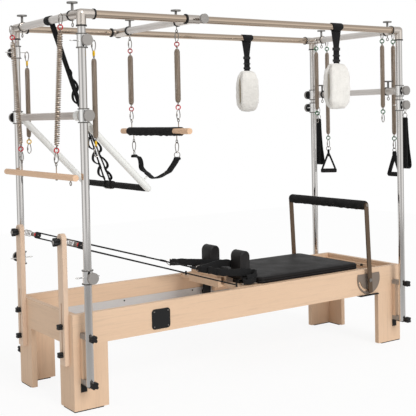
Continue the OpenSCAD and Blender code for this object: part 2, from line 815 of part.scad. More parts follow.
// Sling under the trapeze: hooks, rings and a broad strap in a lopsided V
sling_pivot_z = sling_eye_z - eye_r;
function sling_at(y, drop) = [0, y, sling_eye_z - drop];
sling_path = [sling_at(-sling_eye_y, 94), sling_at(20 - sling_eye_y, 138), sling_at(56 - sling_eye_y, 168),
  sling_at(-60, 216), sling_at(-10, 223), sling_at(40, 220), sling_at(110, 184), sling_at(sling_eye_y - 76, 160),
  sling_at(sling_eye_y - 32, 130), sling_at(sling_eye_y, 94)];
module sling() {
  strap_w = 38;
  strap_t = 6;
  d_r = 16;
  d_top = sling_pivot_z + hook_top - (cara_l - wire_d) + wire_d + link_gap;
  translate([trapeze_x, 0, 0]) {
    color(steel) mirror_y() translate([0, sling_eye_y, 0]) {
      translate([0, 0, sling_pivot_z + hook_top]) link(cara_l, cara_w, wire_d);
      translate([0, 0, d_top - d_r]) ring_turned(d_r, wire_d);
    }
    color(black) {
      sweep(sling_path, flat_shape(strap_w, strap_t), up = [1, 0, 0]);
      mirror_y() translate([0, sling_eye_y, d_top - 2 * d_r - 3]) rotate([20, 0, 0])
        cube([strap_w, strap_t + 4, 18], center = true);
      translate(sling_at(96 - sling_eye_y, 183)) rotate([-22, 0, 0]) difference() {
        cube([strap_w + 10, 30, strap_t + 6], center = true);
        cube([strap_w - 8, 12, strap_t + 8], center = true);
      }
    }
  }
}

// Roll-down bar on two slanting springs
rolldown_x = -pole_x - eye_reach_head;
rolldown_fall = canopy_z - rolldown_bar_eye - eye_r;
rolldown_shift = eye_y - rolldown_eye_y;
rolldown_l_line = norm([rolldown_fall, rolldown_shift]);
rolldown_tilt = atan2(rolldown_shift, rolldown_fall);
// Wound body of a roll-down spring: one unbroken tube
coil_wire = 10;
coil_mid = (rolldown_spring_d - coil_wire) / 2;
rolldown_body = rolldown_l_line - 2 * hook_l;
rolldown_helix = helix(rolldown_body, coil_mid, rolldown_curls, coil_wire);
echo(rolldown_spring_least_gap = helix_gap(rolldown_helix, coil_wire));
module rolldown_springs() {
  color(coil_grey) mirror_y() translate([rolldown_x, eye_y, canopy_z]) rotate([-rolldown_tilt, 0, 0]) {
    hook_end();
    translate([0, 0, -hook_l]) sweep(rolldown_helix, round_shape(coil_wire, 6), helix_ups(rolldown_curls));
    translate([0, 0, -hook_l]) cylinder(d = wire_d, h = hook_l + loop_low);
    translate([0, 0, -rolldown_l_line]) mirror([0, 0, 1]) {
      hook_end();
      translate([0, 0, -hook_l]) cylinder(d = wire_d, h = hook_l + loop_low);
    }
  }
}
module rolldown_bar() {
  translate([rolldown_x, 0, rolldown_z]) {
    bar_with_eyes(rolldown_l, rolldown_d, [-rolldown_eye_y, rolldown_eye_y],
      rolldown_bar_eye - rolldown_z, -rolldown_d / 2);
    color(steel) translate([0, -rolldown_l / 2 + 60, -rolldown_d / 2 - eye_r - eye_wire / 2 - 2]) {
      ring_x(eye_r, eye_wire);
      translate([0, 0, eye_r]) cylinder(d = 6, h = 9);
    }
  }
}

// Free springs: side springs at the head end, short and long springs at the foot end
module side_spring(s) translate([-pole_x + eye_reach_head, s * pole_y, slider_top_z])
  spring_line(side_spring_l, side_spring_d);
module side_spring_near() side_spring(-1);
module side_spring_far() side_spring(1);
module arm_spring(s) translate([pole_x - eye_reach_foot, s * eye_y, canopy_z])
  spring_line(arm_spring_l, arm_spring_d);
module arm_spring_near() arm_spring(-1);
module arm_spring_far() arm_spring(1);

// Triangular webbing handle with a padded grip, hanging from the origin
module handle() {
  web_t = 5;
  web_w = 26;
  stem = 40;
  fall = 150;
  half = 48;
  d_r = 15;
  color(steel) translate([0, 0, -d_r]) ring_x(d_r, wire_d);
  color(black) translate([0, 0, -2 * d_r + 3]) {
    translate([0, 0, -stem / 2]) cube([web_w, 14, stem], center = true);
    mirror_y() sweep([[0, 4, -stem + 3], [0, half, -fall]], flat_shape(web_w, web_t), up = [1, 0, 0]);
    translate([0, 0, -fall]) rod_y(26, 2 * half + 18);
  }
}
module handle_spring(s, turn) translate([pole_x + eye_reach_foot, s * eye_y, canopy_z]) {
  spring_line(handle_spring_l, arm_spring_d);
  translate([0, 0, -handle_spring_l]) rotate([0, 0, turn]) handle();
}
module handle_spring_near() handle_spring(-1, 0);
module handle_spring_far() handle_spring(1, 50);

// Padded foot loop on a hook and a D-ring: two straps joined at the top, open at the foot
module foot_loop(s) translate([pole_x + eye_reach_foot, s * pole_y, slider_right_z]) {
  d_r = 17;
  d_top = hook_top - (cara_l - wire_d) + wire_d + link_gap;
  top = d_top - 2 * d_r;
  low = -420;
  strap_w = 38;
  color(steel) {
    translate([0, 0, hook_top]) link(cara_l, cara_w, wire_d);
    translate([0, 0, d_top - d_r]) ring_x(d_r, wire_d);
  }
  color(black) {
    sweep(concat(
        [[5, 0, top + 4], [6, 0, top - 90], [10, 0, top - 200], [20, 0, low + 40]],
        [for (a = [0 : 30 : 180]) [2 + 18 * cos(a), 0, low + 20 - 20 * sin(a)]],
        [[-14, 0, low + 60], [-9, 0, top - 200], [-6, 0, top - 90], [-5, 0, top + 4]]),
      flat_shape(strap_w, 8), up = [0, 1, 0],
      wide = [1, 1, 1.3, 1.6, 1.7, 1.7, 1.7, 1.7, 1.7, 1.7, 1.7, 1.5, 1.3, 1, 1]);
    translate([0, 0, top - 10]) cube([14, strap_w, 32], center = true);
  }
}
module foot_loop_near() foot_loop(-1);
module foot_loop_far() foot_loop(1);

// Soft cushion with a crown and drawn-in sides, standing on the XY plane from corner to corner
function outline(l, w, inset, corner, n = 8) =
  let (r = max(corner - inset, 6), hx = l / 2 - inset - r, hy = w / 2 - inset - r)
  [for (q = [0 : 3]) for (i = [0 : n - 1]) let (a = 90 * q + 90 * i / (n - 1),
     sx = (q == 0 || q == 3) ? 1 : -1, sy = q < 2 ? 1 : -1)
     [sx * hx + r * cos(a), sy * hy + r * sin(a)]];
module stack(rings) {
  n = len(rings);
  m = len(rings[0]);
  pts = [for (r = rings) each r];
  walls = [for (i = [0 : n - 2]) for (j = [0 : m - 1])
    let (a = i * m + j, b = i * m + (j + 1) % m, c = (i + 1) * m + (j + 1) % m, d = (i + 1) * m + j)
    each [[a, c, b], [a, d, c]]];
  caps = [for (j = [1 : m - 2]) each [[0, j, j + 1], [(n - 1) * m, (n - 1) * m + j + 1, (n - 1) * m + j]]];
  polyhedron(pts, concat(walls, caps));
}
module cushion(l, w, t, corner, crown) {
  m = min(l, w);
  levels = [[5, 0], [1, 5], [0, t * 0.35], [1.5, t * 0.6], [4, t - crown - 6], [9, t - crown - 2.5],
    [17, t - crown], [m * 0.18, t - crown * 0.4], [m * 0.26, t - crown * 0.1], [m * 0.35, t]];
  stack([for (v = levels) [for (p = outline(l, w, v[0], corner)) [p[0], p[1], v[1]]]]);
}

// Fleece loop: a strap round the top tube and a thick open loop of fleece
fleece_top = canopy_z - fleece_drop;
fleece_low = fleece_top - fleece_h;
module fleece_loop(x, s) translate([x, s * pole_y, 0]) {
  wrap_w = 84;
  wrap_t = 5;
  strap_t = 8;
  hole_w = 18;
  color(black) {
    translate([0, 0, canopy_z]) difference() {
      rod_x(tube_d + 2 * seat + 2 * wrap_t, wrap_w);
      rod_x(tube_d + 2 * seat, wrap_w + 2);
    }
    translate([-fleece_strap_w / 2, -strap_t / 2, fleece_top - 12])
      cube([fleece_strap_w, strap_t, canopy_z - tube_d / 2 - seat - wrap_t / 2 - fleece_top + 12]);
    for (z = [fleece_top + 22, fleece_top + 62]) translate([0, 0, z])
      cube([fleece_strap_w + 8, strap_t + 8, 14], center = true);
  }
  color("ivory") difference() {
    translate([0, 0, fleece_low]) stack([for (v = [[0.72, 0], [0.9, 0.05], [0.98, 0.14], [1, 0.3], [1, 0.6],
        [0.96, 0.8], [0.82, 0.92], [0.5, 1]])
      [for (a = [0 : 15 : 345]) [fleece_w / 2 * v[0] * cos(a), fleece_d / 2 * v[0] * sin(a),
        fleece_h * v[1]]]]);
    translate([-fleece_w, -hole_w / 2, fleece_low + 45])
      cube([2 * fleece_w, hole_w, fleece_h - 105]);
  }
}
module fleece_loop_near() fleece_loop(fleece_near_x, -1);
module fleece_loop_far() fleece_loop(fleece_far_x, 1);

// Rope risers with their pulleys
pulley_slope = 17.5;
pulley_reach = 96.5;
rope_d = 8;
function pulley_at() = [-frame_l / 2 + pulley_reach * cos(pulley_slope), pulley_z - pulley_reach * sin(pulley_slope)];
module riser_posts() {
  slot_w = stud_d + 1;
  color(wood) mirror_y() translate([post_x, post_y, 0]) rotate([0, -90, 0]) difference() {
    linear_extrude(height = post_t) union() {
      translate([post_low, -post_w / 2]) square([post_top - post_w / 2 - post_low, post_w]);
      translate([post_top - post_w / 2, 0]) circle(d = post_w);
    }
    for (z = [riser_clamp_low, riser_clamp_top]) translate([z, 0, -1]) linear_extrude(height = post_t + 2) union() {
      circle(d = slot_w);
      translate([0, -slot_w / 2]) square([riser_travel, slot_w]);
      translate([riser_travel, 0]) circle(d = slot_w);
    }
    translate([pulley_z, 0, -1]) cylinder(d = 8 + 2 * fit, h = post_t + 2);
  }
}
module riser_knobs() {
  color(black) mirror_y() translate([post_x - post_t, post_y, pulley_z]) rotate([0, -90, 0]) {
    scale(0.75) difference() {
      lobed_knob();
      translate([0, 0, -1]) cylinder(d = 11, h = knob_t + 2);
    }
    translate([0, 0, 0.75 * knob_t + 2]) lobed_knob();
    cylinder(d = 8, h = 0.75 * knob_t + 2);
  }
}
module pulley_frame() translate([-frame_l / 2, 0, pulley_z]) rotate([0, pulley_slope, 0]) children();
block_gap = 6.4;
spring_from = 12;
spring_to = 60;
pulley_wire = 2.6;
pulley_curls = 6;
pulley_coil = helix(spring_to - spring_from, 7, pulley_curls, pulley_wire + 0.4);
echo(pulley_spring_least_gap = helix_gap(pulley_coil, pulley_wire));
module pulley_blocks() {
  plate_w = 26;
  plate_t = 3;
  plate_from = spring_to + 2;
  plate_l = pulley_reach + 14 - plate_from;
  mirror_y() translate([0, post_y, 0]) {
    color(steel) {
      translate([post_x - post_t, 0, pulley_z]) rotate([0, 90, 0]) cylinder(d = 8, h = post_t + seat + 8);
      pulley_frame() {
        translate([spring_from, 0, 0]) rotate([0, -90, 0])
          sweep(pulley_coil, round_shape(pulley_wire, 6), helix_ups(pulley_curls));
        translate([3, 0, 0]) rotate([0, 90, 0]) cylinder(d = 10, h = spring_from - 3);
        translate([spring_to, 0, 0]) rotate([0, 90, 0]) cylinder(d = 12, h = 12);
        mirror_y() translate([plate_from, block_gap, -plate_w / 2]) cube([plate_l, plate_t, plate_w]);
        translate([spring_to + 6, 0, 0]) cube([8, 2 * block_gap + 0.2, plate_w], center = true);
        translate([pulley_reach, 0, 0]) rod_y(6, 2 * block_gap + 2 * plate_t + 3);
      }
    }
  }
}
module pulley_sheaves() {
  w = 12;
  color(black) mirror_y() translate([pulley_at()[0], post_y, pulley_at()[1]]) difference() {
    rod_y(34, w);
    rotate([90, 0, 0]) rotate_extrude() translate([sheave_r + rope_d / 2, 0]) circle(d = rope_d + 1);
    difference() {
      rod_y(36, rope_d + 1);
      rod_y(2 * sheave_r + rope_d, rope_d + 2);
    }
    rod_y(6 + 2 * fit, w + 2);
  }
}
// Ropes: from the carriage anchor round the sheave and back to the hand loop's ring
anchor = [-104, post_y, 528];
loop_ring = [-284, shoulder_y, 629];
rope_lead = 12;
function rope_path() =
  let (s = pulley_at(), r = sheave_r + rope_d / 2 + seat)
  concat([anchor],
    [for (a = [253 : -22.5 : 73]) [s[0] + r * cos(a), post_y, s[1] + r * sin(a)]],
    [[s[0] + r * cos(73) + rope_lead * sin(73), post_y, s[1] + r * sin(73) - rope_lead * cos(73)]],
    [loop_ring]);
module rope() color(black) sweep(rope_path(), round_shape(rope_d, 8), up = [0, 1, 0]);
module rope_far() rope();
module rope_near() mirror([0, 1, 0]) rope();

// Carriage
deck_top = rail_top - 2;
pad_top = deck_top + pad_t;
skirt_low = 385;
wheel_y = rail_in - track_t - bolt_head - 3 - wheel_w / 2;
bracket_t = 6;
bracket_w = 60;
skirt_y = wheel_y - wheel_w / 2 - 3 - bracket_t;
axle_z = track_z + track_t + wheel_r + seat;
anchor_rod_x = 640;
bar_z = 400;
head_x = pad_x - 210;
peg_d = 16;
module carriage_frame() {
  deck_x = pad_x - 170;
  deck_w = pad_w - 10;
  skirt_t = 35;
  tongue_w = 320;
  block_h = pad_top - deck_top;
  color(wood) {
    difference() {
      union() {
        translate([deck_x, -deck_w / 2, deck_top - deck_t]) cube([pad_x + pad_l - deck_x, deck_w, deck_t]);
        translate([head_x, -tongue_w / 2, deck_top - deck_t]) cube([deck_x - head_x, tongue_w, deck_t]);
      }
      mirror_y() translate([shoulder_x, shoulder_y, deck_top - deck_t - 1])
        cylinder(d = peg_d + 2 * fit, h = deck_t + 2);
    }
    translate([head_x, -tongue_w / 2, deck_top]) cube([25, tongue_w, block_h]);
    translate([-60, -90, deck_top]) cube([25, 180, block_h]);
    mirror_y() translate([wheel_x1 + bracket_w / 2 + 6, skirt_y - skirt_t, skirt_low])
      cube([wheel_x2 - wheel_x1 - bracket_w - 12, skirt_t, deck_top - deck_t - skirt_low]);
  }
  color(steel) {
    translate([anchor_rod_x, 0, bar_z]) rod_y(16, 2 * (skirt_y - skirt_t) + 20);
    mirror_y() translate([anchor[0] + 8 + seat, anchor[1], deck_top]) cylinder(d = 12, h = 24);
  }
}
module carriage_pad() {
  color(black) translate([pad_x + pad_l / 2, 0, deck_top]) cushion(pad_l, pad_w, pad_t, 45, 4);
}
module wheel_brackets() {
  low = axle_z - 17;
  under = deck_top - deck_t;
  color(black) mirror_y() for (x = [wheel_x1, wheel_x2]) {
    translate([x - bracket_w / 2, skirt_y, low]) cube([bracket_w, bracket_t, under - low]);
    translate([x - bracket_w / 2, skirt_y - 34, under - bracket_t]) cube([bracket_w, 36, bracket_t]);
    translate([x, skirt_y + bracket_t, axle_z]) rotate([-90, 0, 0])
      cylinder(d = 8, h = wheel_w + 4);
  }
}
module wheel_pair(x) color(black) mirror_y() translate([x, wheel_y, axle_z]) difference() {
  rod_y(2 * wheel_r, wheel_w);
  rod_y(8 + 2 * fit, wheel_w + 2);
}
module wheels_front() wheel_pair(wheel_x1);
module wheels_rear() wheel_pair(wheel_x2);
// Head rest: a wide part and a narrower tongue between the shoulder rests
tongue_end = 48;
tongue_l = 140;
module headrest() {
  narrow = 2 * (shoulder_y - shoulder_w / 2) - 15;
  color(black) translate([0, 0, pad_top + seat]) union() {
    translate([head_x + 5 + headrest_l / 2, 0, 0]) cushion(headrest_l, headrest_w, headrest_t, 20, 3);
    translate([tongue_end - tongue_l / 2, 0, 0]) cushion(tongue_l, narrow, headrest_t - 22, 16, 3);
  }
}
module shoulder_rest(s) {
  r = shoulder_t / 2;
  base = 22;
  rim = 4;
  translate([shoulder_x, s * shoulder_y, 0]) {
    color(black) {
      translate([0, 0, shoulder_top - r]) rod_y(2 * r, shoulder_w - 2 * rim);
      translate([-r, -shoulder_w / 2 + rim, deck_top + base])
        cube([2 * r, shoulder_w - 2 * rim, shoulder_top - r - deck_top - base]);
      translate([0, 0, shoulder_top - r]) rod_y(2 * r - 16, shoulder_w);
      translate([-r + 8, -shoulder_w / 2, deck_top + base + 6])
        cube([2 * r - 16, shoulder_w, shoulder_top - r - deck_top - base - 6]);
    }
    color("dimgray") {
      translate([-r + 3, -shoulder_w / 2 + 10, deck_top + seat]) cube([2 * r - 6, shoulder_w - 20, base - seat]);
      translate([0, 0, deck_top - 28]) cylinder(d = peg_d, h = 28 + seat);
    }
  }
}
module shoulder_rest_near() shoulder_rest(-1);
module shoulder_rest_far() shoulder_rest(1);
// Padded hand loops laid round the shoulder rests, each with its ring
module hand_loops() {
  band_h = 40;
  outer = shoulder_y + shoulder_w / 2 + 9;
  inner = shoulder_y - shoulder_w / 2 - 9;
  back = shoulder_x + shoulder_t / 2 + 9;
  over = pad_top + headrest_t + band_h / 2 + 4;
  color(steel) mirror_y() translate([loop_ring[0] + 17, loop_ring[1], loop_ring[2] - 3]) ring_y(14, wire_d);
  color(black) mirror_y() sweep([[loop_ring[0] + 34, loop_ring[1], over], [-200, outer - 25, over - 6],
      [-120, outer, over - 18], [back - 20, outer + 3, over - 34], [back, outer - 12, over - 30],
      [back + 2, shoulder_y, over - 10], [back, inner + 12, over + 4], [back - 20, inner - 1, over + 6],
      [-120, inner - 2, over + 3], [-200, inner + 22, over + 1]],
    flat_shape(band_h, 5), closed = true);
}

// Carriage springs and the bar that they hook on
spring_bar_x = 1040;
bar_d = 22;
module spring_bar() color(steel) translate([spring_bar_x, 0, bar_z]) rod_y(bar_d, 2 * (rail_in - track_t));
module carriage_springs() {
  pitch = 80;
  d = 24;
  hook_r = bar_d / 2 + seat + 2.5;
  color(coil_grey) for (i = [0 : spring_count - 1]) translate([0, (i - (spring_count - 1) / 2) * pitch, bar_z]) {
    translate([spring_bar_x, 0, 0]) ring_y(hook_r, 5);
    translate([anchor_rod_x, 0, 0]) ring_y(8 + seat + 2.5, 5);
    translate([(spring_bar_x + anchor_rod_x) / 2, 0, 0]) rod_x(d, spring_bar_x - anchor_rod_x - 44);
    translate([(spring_bar_x + anchor_rod_x) / 2 - 1, 0, 0]) rod_x(5, spring_bar_x - anchor_rod_x - 27);
  }
}

// Foot bar: side plates with their notched arc, folding frame and roller
side_plate_t = 6;
foot_pin_d = 16;
module footbar_plates() {
  plate_r = 101;
  plate_top = 39;
  plate_mid = [11.5, 6];
  slot_in = notch_r - 8;
  slot_out = notch_r + 8;
  mirror_y() {
    color("rosybrown") translate([foot_pivot_x, rail_out, foot_pivot_z]) rotate([90, 0, 0]) mirror([0, 0, 1]) {
      difference() {
        linear_extrude(height = side_plate_t) difference() {
          intersection() {
            translate(plate_mid) circle(r = plate_r);
            translate([-2 * plate_r, -2 * plate_r]) square([4 * plate_r, 2 * plate_r + plate_top]);
          }
          intersection() {
            difference() {
              circle(r = slot_out);
              circle(r = slot_in);
            }
            polygon([[0, 0], for (a = [186 : 16 : 282]) 2 * notch_r * [cos(a), sin(a)]]);
          }
          for (a = [192 : 13 : 244]) rotate(a) translate([slot_out, 0]) circle(d = 10);
        }
      }
      cylinder(d = foot_pin_d, h = foot_arm_y + foot_arm_t / 2 - rail_out + 1);
      translate([0, 0, foot_arm_y + foot_arm_t / 2 - rail_out + 1]) cylinder(d = 24, h = 4);
      translate([0, 0, side_plate_t])
        cylinder(d = 28, h = foot_arm_y - foot_arm_t / 2 - seat - rail_out - side_plate_t);
    }
    color(black) translate([foot_pivot_x - 74, rail_out - 26, rail_low - 7]) cube([165, 44, 7]);
  }
}
foot_len = norm([foot_bar_h, foot_lean]);
module foot_place() translate([foot_pivot_x, 0, foot_pivot_z]) rotate([0, -atan2(foot_lean, foot_bar_h), 0]) children();
foot_core_d = 32;
module footbar_frame() {
  pin_d = 10;
  arm_in = foot_arm_y - foot_arm_t / 2;
  foot_place() color([0.3, 0.26, 0.24]) {
    mirror_y() translate([0, arm_in, 0]) {
      difference() {
        rotate([-90, 0, 0]) union() {
          translate([-foot_arm_w / 2, -foot_len, 0]) cube([foot_arm_w, foot_len + notch_r, foot_arm_t]);
          translate([0, -foot_len, 0]) cylinder(d = foot_arm_w, h = foot_arm_t);
          translate([0, notch_r, 0]) cylinder(d = foot_arm_w, h = foot_arm_t);
        }
        translate([0, foot_arm_t / 2, 0]) rod_y(foot_pin_d + 2 * fit, foot_arm_t + 2);
      }
      translate([0, foot_arm_t, foot_len]) rotate([-90, 0, 0]) cylinder(d = 18, h = 4);
      translate([0, 0, -notch_r]) rotate([90, 0, 0]) cylinder(d = pin_d, h = arm_in - rail_out - 1);
    }
    translate([0, 0, foot_len]) rod_y(foot_core_d, 2 * arm_in);
  }
}
module footbar_grip() {
  l = 2 * (foot_arm_y - foot_arm_t / 2) - 6;
  foot_place() translate([0, 0, foot_len]) color(black) difference() {
    rod_y(foot_grip_d, l);
    rod_y(foot_core_d + 2 * fit, l + 2);
  }
}

// Safety strap from the head end cross tube down to the push-through bar
module safety_strap() {
  w = 25;
  t = 4;
  top = [-pole_x, -25, canopy_z];
  low = [-pole_x + push_l * cos(push_angle), 96, left_bar_z - push_l * sin(push_angle)];
  run = low - top;
  dir = unit(run);
  wrap_top = tube_d / 2 + seat;
  wrap_low = push_grip_d / 2 + seat;
  color(black) {
    translate(top) difference() {
      rod_y(2 * (wrap_top + t), w);
      rod_y(2 * wrap_top, w + 2);
    }
    translate(low) difference() {
      rod_y(2 * (wrap_low + t), w);
      rod_y(2 * wrap_low, w + 2);
    }
    sweep([top + dir * (wrap_top + t / 2), low - dir * (wrap_low + t / 2)], flat_shape(w, t),
      up = [0, 1, 0]);
  }
}

side_rails();
end_boards();
leg_boards();
rubber_pads();
carriage_tracks();
side_plate();
pole_battens();
pole_brackets();
clamp_knobs();
uprights();
corner_fittings();
top_tubes();
top_cross_tubes();
socket_rings();
tee_screws();
footbar_plates();
spring_bar();
carriage_springs();
rope_near();
rope_far();
safety_strap();
carriage_frame();
carriage_pad();
wheel_brackets();
hand_loops();
headrest();
shoulder_rest_near();
shoulder_rest_far();
wheels_front();
wheels_rear();
footbar_frame();
footbar_grip();
left_crossbar();
push_bar();
push_grip();
trapeze_carrier();
trapeze_springs();
trapeze_bar();
trapeze_foam();
sling();
rolldown_springs();
rolldown_bar();
side_spring_near();
side_spring_far();
arm_spring_near();
arm_spring_far();
handle_spring_near();
handle_spring_far();
foot_loop_near();
foot_loop_far();
fleece_loop_near();
fleece_loop_far();
sliders_top_left();
sliders_low_left();
sliders_right();
right_crossbar();
riser_posts();
riser_knobs();
pulley_blocks();
pulley_sheaves();
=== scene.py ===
from math import atan2, copysign, cos, exp, hypot, pi, radians, sin, sqrt

import bpy
from mathutils import Matrix, Vector, noise


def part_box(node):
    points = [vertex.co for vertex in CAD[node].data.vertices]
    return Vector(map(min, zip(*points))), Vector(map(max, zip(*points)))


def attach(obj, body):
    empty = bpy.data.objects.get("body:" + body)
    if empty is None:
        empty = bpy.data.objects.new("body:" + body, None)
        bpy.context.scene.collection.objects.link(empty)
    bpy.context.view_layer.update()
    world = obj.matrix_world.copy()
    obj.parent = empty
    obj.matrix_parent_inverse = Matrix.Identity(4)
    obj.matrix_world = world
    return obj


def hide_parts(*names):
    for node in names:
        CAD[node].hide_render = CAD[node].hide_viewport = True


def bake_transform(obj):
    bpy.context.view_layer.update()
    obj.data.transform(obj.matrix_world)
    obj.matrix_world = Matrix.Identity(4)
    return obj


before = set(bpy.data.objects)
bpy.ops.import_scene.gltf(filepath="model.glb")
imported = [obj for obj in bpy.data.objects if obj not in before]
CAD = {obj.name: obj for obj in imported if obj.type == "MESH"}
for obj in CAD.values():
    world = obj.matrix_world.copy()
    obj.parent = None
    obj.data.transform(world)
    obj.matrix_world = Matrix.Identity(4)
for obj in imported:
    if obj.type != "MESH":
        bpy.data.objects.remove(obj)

scene = bpy.context.scene
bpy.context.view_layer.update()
V = Vector
X, Y, Z = V((1, 0, 0)), V((0, 1, 0)), V((0, 0, 1))

# places that several pieces share, in metres
POLE_X, TUBE_Y = 1.164, 0.428         # centres of the uprights
TOP_Z = 2.083                         # centre of the top tubes
SPRING_Y, ARM_X = 0.328, 1.216        # where the springs hang; eyes beside the right uprights
ROPE_Y, PULLEY_Z = 0.276, 0.897       # plane of each rope, height of its pulley's screw


def place(name, data):
    ob = bpy.data.objects.new(name, data)
    scene.collection.objects.link(ob)
    return ob


# ---- camera
YAW, PITCH, ROLL = 0.6065, -0.0327, -0.0206
forward = V((sin(YAW) * cos(PITCH), cos(YAW) * cos(PITCH), sin(PITCH)))
right0 = V((cos(YAW), -sin(YAW), 0))
up0 = right0.cross(forward)
right = cos(ROLL) * right0 + sin(ROLL) * up0
upward = -sin(ROLL) * right0 + cos(ROLL) * up0
cam = place("camera", bpy.data.cameras.new("camera"))
m = Matrix((right, upward, -forward)).transposed().to_4x4()
m.translation = V((-3.2624, -4.5705, 1.53905))
cam.matrix_world = m
cam.data.sensor_width = 36
cam.data.lens = 77.25
cam.data.shift_y = -0.1491
scene.camera = cam


# ---- materials
def lin(r, g, b):
    return tuple(((c / 255 + 0.055) / 1.055) ** 2.4 if c > 10 else c / 3294.6 for c in (r, g, b)) + (1.0,)


def tone(c, k):
    return tuple(min(1, x * k) for x in c[:3]) + (1.0,)


def node(nt, kind):
    return nt.nodes.new("ShaderNode" + kind)


def base(name, rough=0.5, metal=0.0, **sockets):
    """A new material, its node tree and its shader, with constants set on the sockets."""
    mt = bpy.data.materials.new(name)
    mt.use_nodes = True
    nt = mt.node_tree
    b = nt.nodes["Principled BSDF"]
    b.inputs["Roughness"].default_value = rough
    b.inputs["Metallic"].default_value = metal
    for k, v in sockets.items():
        b.inputs[k.replace("_", " ")].default_value = v
    return mt, nt, b


def pattern(nt, kind, scale, stretch=(1, 1, 1), **vals):
    """A texture in object space; gives its value socket."""
    tc = node(nt, "TexCoord")
    mp = node(nt, "Mapping")
    mp.inputs["Scale"].default_value = stretch
    nt.links.new(tc.outputs["Object"], mp.inputs["Vector"])
    tx = node(nt, "Tex" + kind)
    tx.inputs["Scale"].default_value = scale
    for k, v in vals.items():
        if k in tx.inputs:
            tx.inputs[k].default_value = v
        else:
            setattr(tx, k, v)
    nt.links.new(mp.outputs["Vector"], tx.inputs["Vector"])
    return tx.outputs[{"Voronoi": "Distance", "Wave": "Color"}.get(kind, "Fac")]


def ramp(nt, src, stops):
    r = node(nt, "ValToRGB")
    els = r.color_ramp.elements
    while len(els) < len(stops):
        els.new(0.5)
    for e, (p, c) in zip(els, stops):
        e.position = p
        e.color = c
    nt.links.new(src, r.inputs["Fac"])
    return r.outputs["Color"]


def greys(nt, src, stops):
    return ramp(nt, src, [(k, (v, v, v, 1)) for k, v in stops])


def paint(nt, b, colour, socket="Base Color"):
    nt.links.new(colour, b.inputs[socket])


def bump(nt, b, src, strength, distance, after=None):
    n = node(nt, "Bump")
    n.inputs["Strength"].default_value = strength
    n.inputs["Distance"].default_value = distance
    nt.links.new(src, n.inputs["Height"])
    if after is not None:
        nt.links.new(after.outputs["Normal"], n.inputs["Normal"])
    nt.links.new(n.outputs["Normal"], b.inputs["Normal"])
    return n


def multiply(nt, a, c, fac=1.0):
    mx = node(nt, "MixRGB")
    mx.blend_type = "MULTIPLY"
    mx.inputs["Fac"].default_value = fac
    nt.links.new(a, mx.inputs["Color1"])
    nt.links.new(c, mx.inputs["Color2"])
    return mx.outputs["Color"]


def lengthwise(axis, across, along_grain):
    """Texture stretch that draws grain or scratches out along one axis."""
    return [along_grain if i == axis else across for i in range(3)]


def wood(name, axis, colour):
    mt, nt, b = base(name, Coat_Weight=0.06, Coat_Roughness=0.35, Specular_IOR_Level=0.3)
    grain = pattern(nt, "Noise", 5.0, lengthwise(axis, 18, 0.8), Detail=6.0, Roughness=0.6, Distortion=0.5)
    g = ramp(nt, grain, [(0.28, tone(colour, 0.90)), (0.46, colour), (0.62, tone(colour, 1.02)),
                         (0.80, tone(colour, 0.955))])
    broad = pattern(nt, "Noise", 2.4, lengthwise(axis, 2.2, 0.35), Detail=2.0)
    w = ramp(nt, broad, [(0.3, (0.955, 0.945, 0.93, 1)), (0.7, (1, 1, 1, 1))])
    pores = pattern(nt, "Noise", 3.0, lengthwise(axis, 300, 9), Detail=2.0)
    p = ramp(nt, pores, [(0.34, (0.90, 0.88, 0.86, 1)), (0.46, (1, 1, 1, 1))])
    paint(nt, b, multiply(nt, multiply(nt, g, w), p, 0.5))
    bump(nt, b, pores, 0.2, 0.0002)
    return mt


def metal(name, colour, rough=0.3, axis=None, scratch=0.12, hammered=0.0, metallic=1.0):
    mt, nt, b = base(name, rough=rough, metal=metallic)
    n = pattern(nt, "Noise", 6.0, lengthwise(axis, 60, 1.2), Detail=4.0)
    paint(nt, b, greys(nt, n, [(0.35, rough - scratch / 2), (0.65, rough + scratch)]), "Roughness")
    paint(nt, b, ramp(nt, n, [(0.3, tone(colour, 0.955)), (0.7, tone(colour, 1.02))]))
    if hammered:
        bump(nt, b, pattern(nt, "Voronoi", 420.0), hammered, 0.0006)
    return mt


def plastic(name, colour, rough=0.5, grain=300.0, strength=0.15):
    mt, nt, b = base(name, rough=rough, Specular_IOR_Level=0.3)
    n = pattern(nt, "Noise", grain, Detail=3.0)
    paint(nt, b, ramp(nt, n, [(0.3, tone(colour, 0.8)), (0.7, tone(colour, 1.2))]))
    bump(nt, b, n, strength, 0.0004)
    return mt


def vinyl(name, spec=0.14):
    mt, nt, b = base(name, Specular_IOR_Level=spec)
    pebbles = pattern(nt, "Voronoi", 620.0, feature="DISTANCE_TO_EDGE")
    n = pattern(nt, "Noise", 9.0, Detail=4.0)
    paint(nt, b, ramp(nt, n, [(0.3, lin(23, 21, 21)), (0.7, lin(31, 29, 29))]))
    paint(nt, b, greys(nt, n, [(0.3, 0.48), (0.7, 0.62)]), "Roughness")
    bump(nt, b, pebbles, 0.35, 0.0004, after=bump(nt, b, n, 0.25, 0.003))
    return mt


def foam(name):
    mt, nt, b = base(name, rough=0.88, Specular_IOR_Level=0.2)
    colour = lin(35, 34, 34)
    patches = pattern(nt, "Noise", 24.0, Detail=3.0)
    paint(nt, b, ramp(nt, patches, [(0.3, tone(colour, 0.75)), (0.7, tone(colour, 1.35))]))
    bump(nt, b, pattern(nt, "Noise", 900.0, Detail=4.0), 0.6, 0.0006)
    return mt


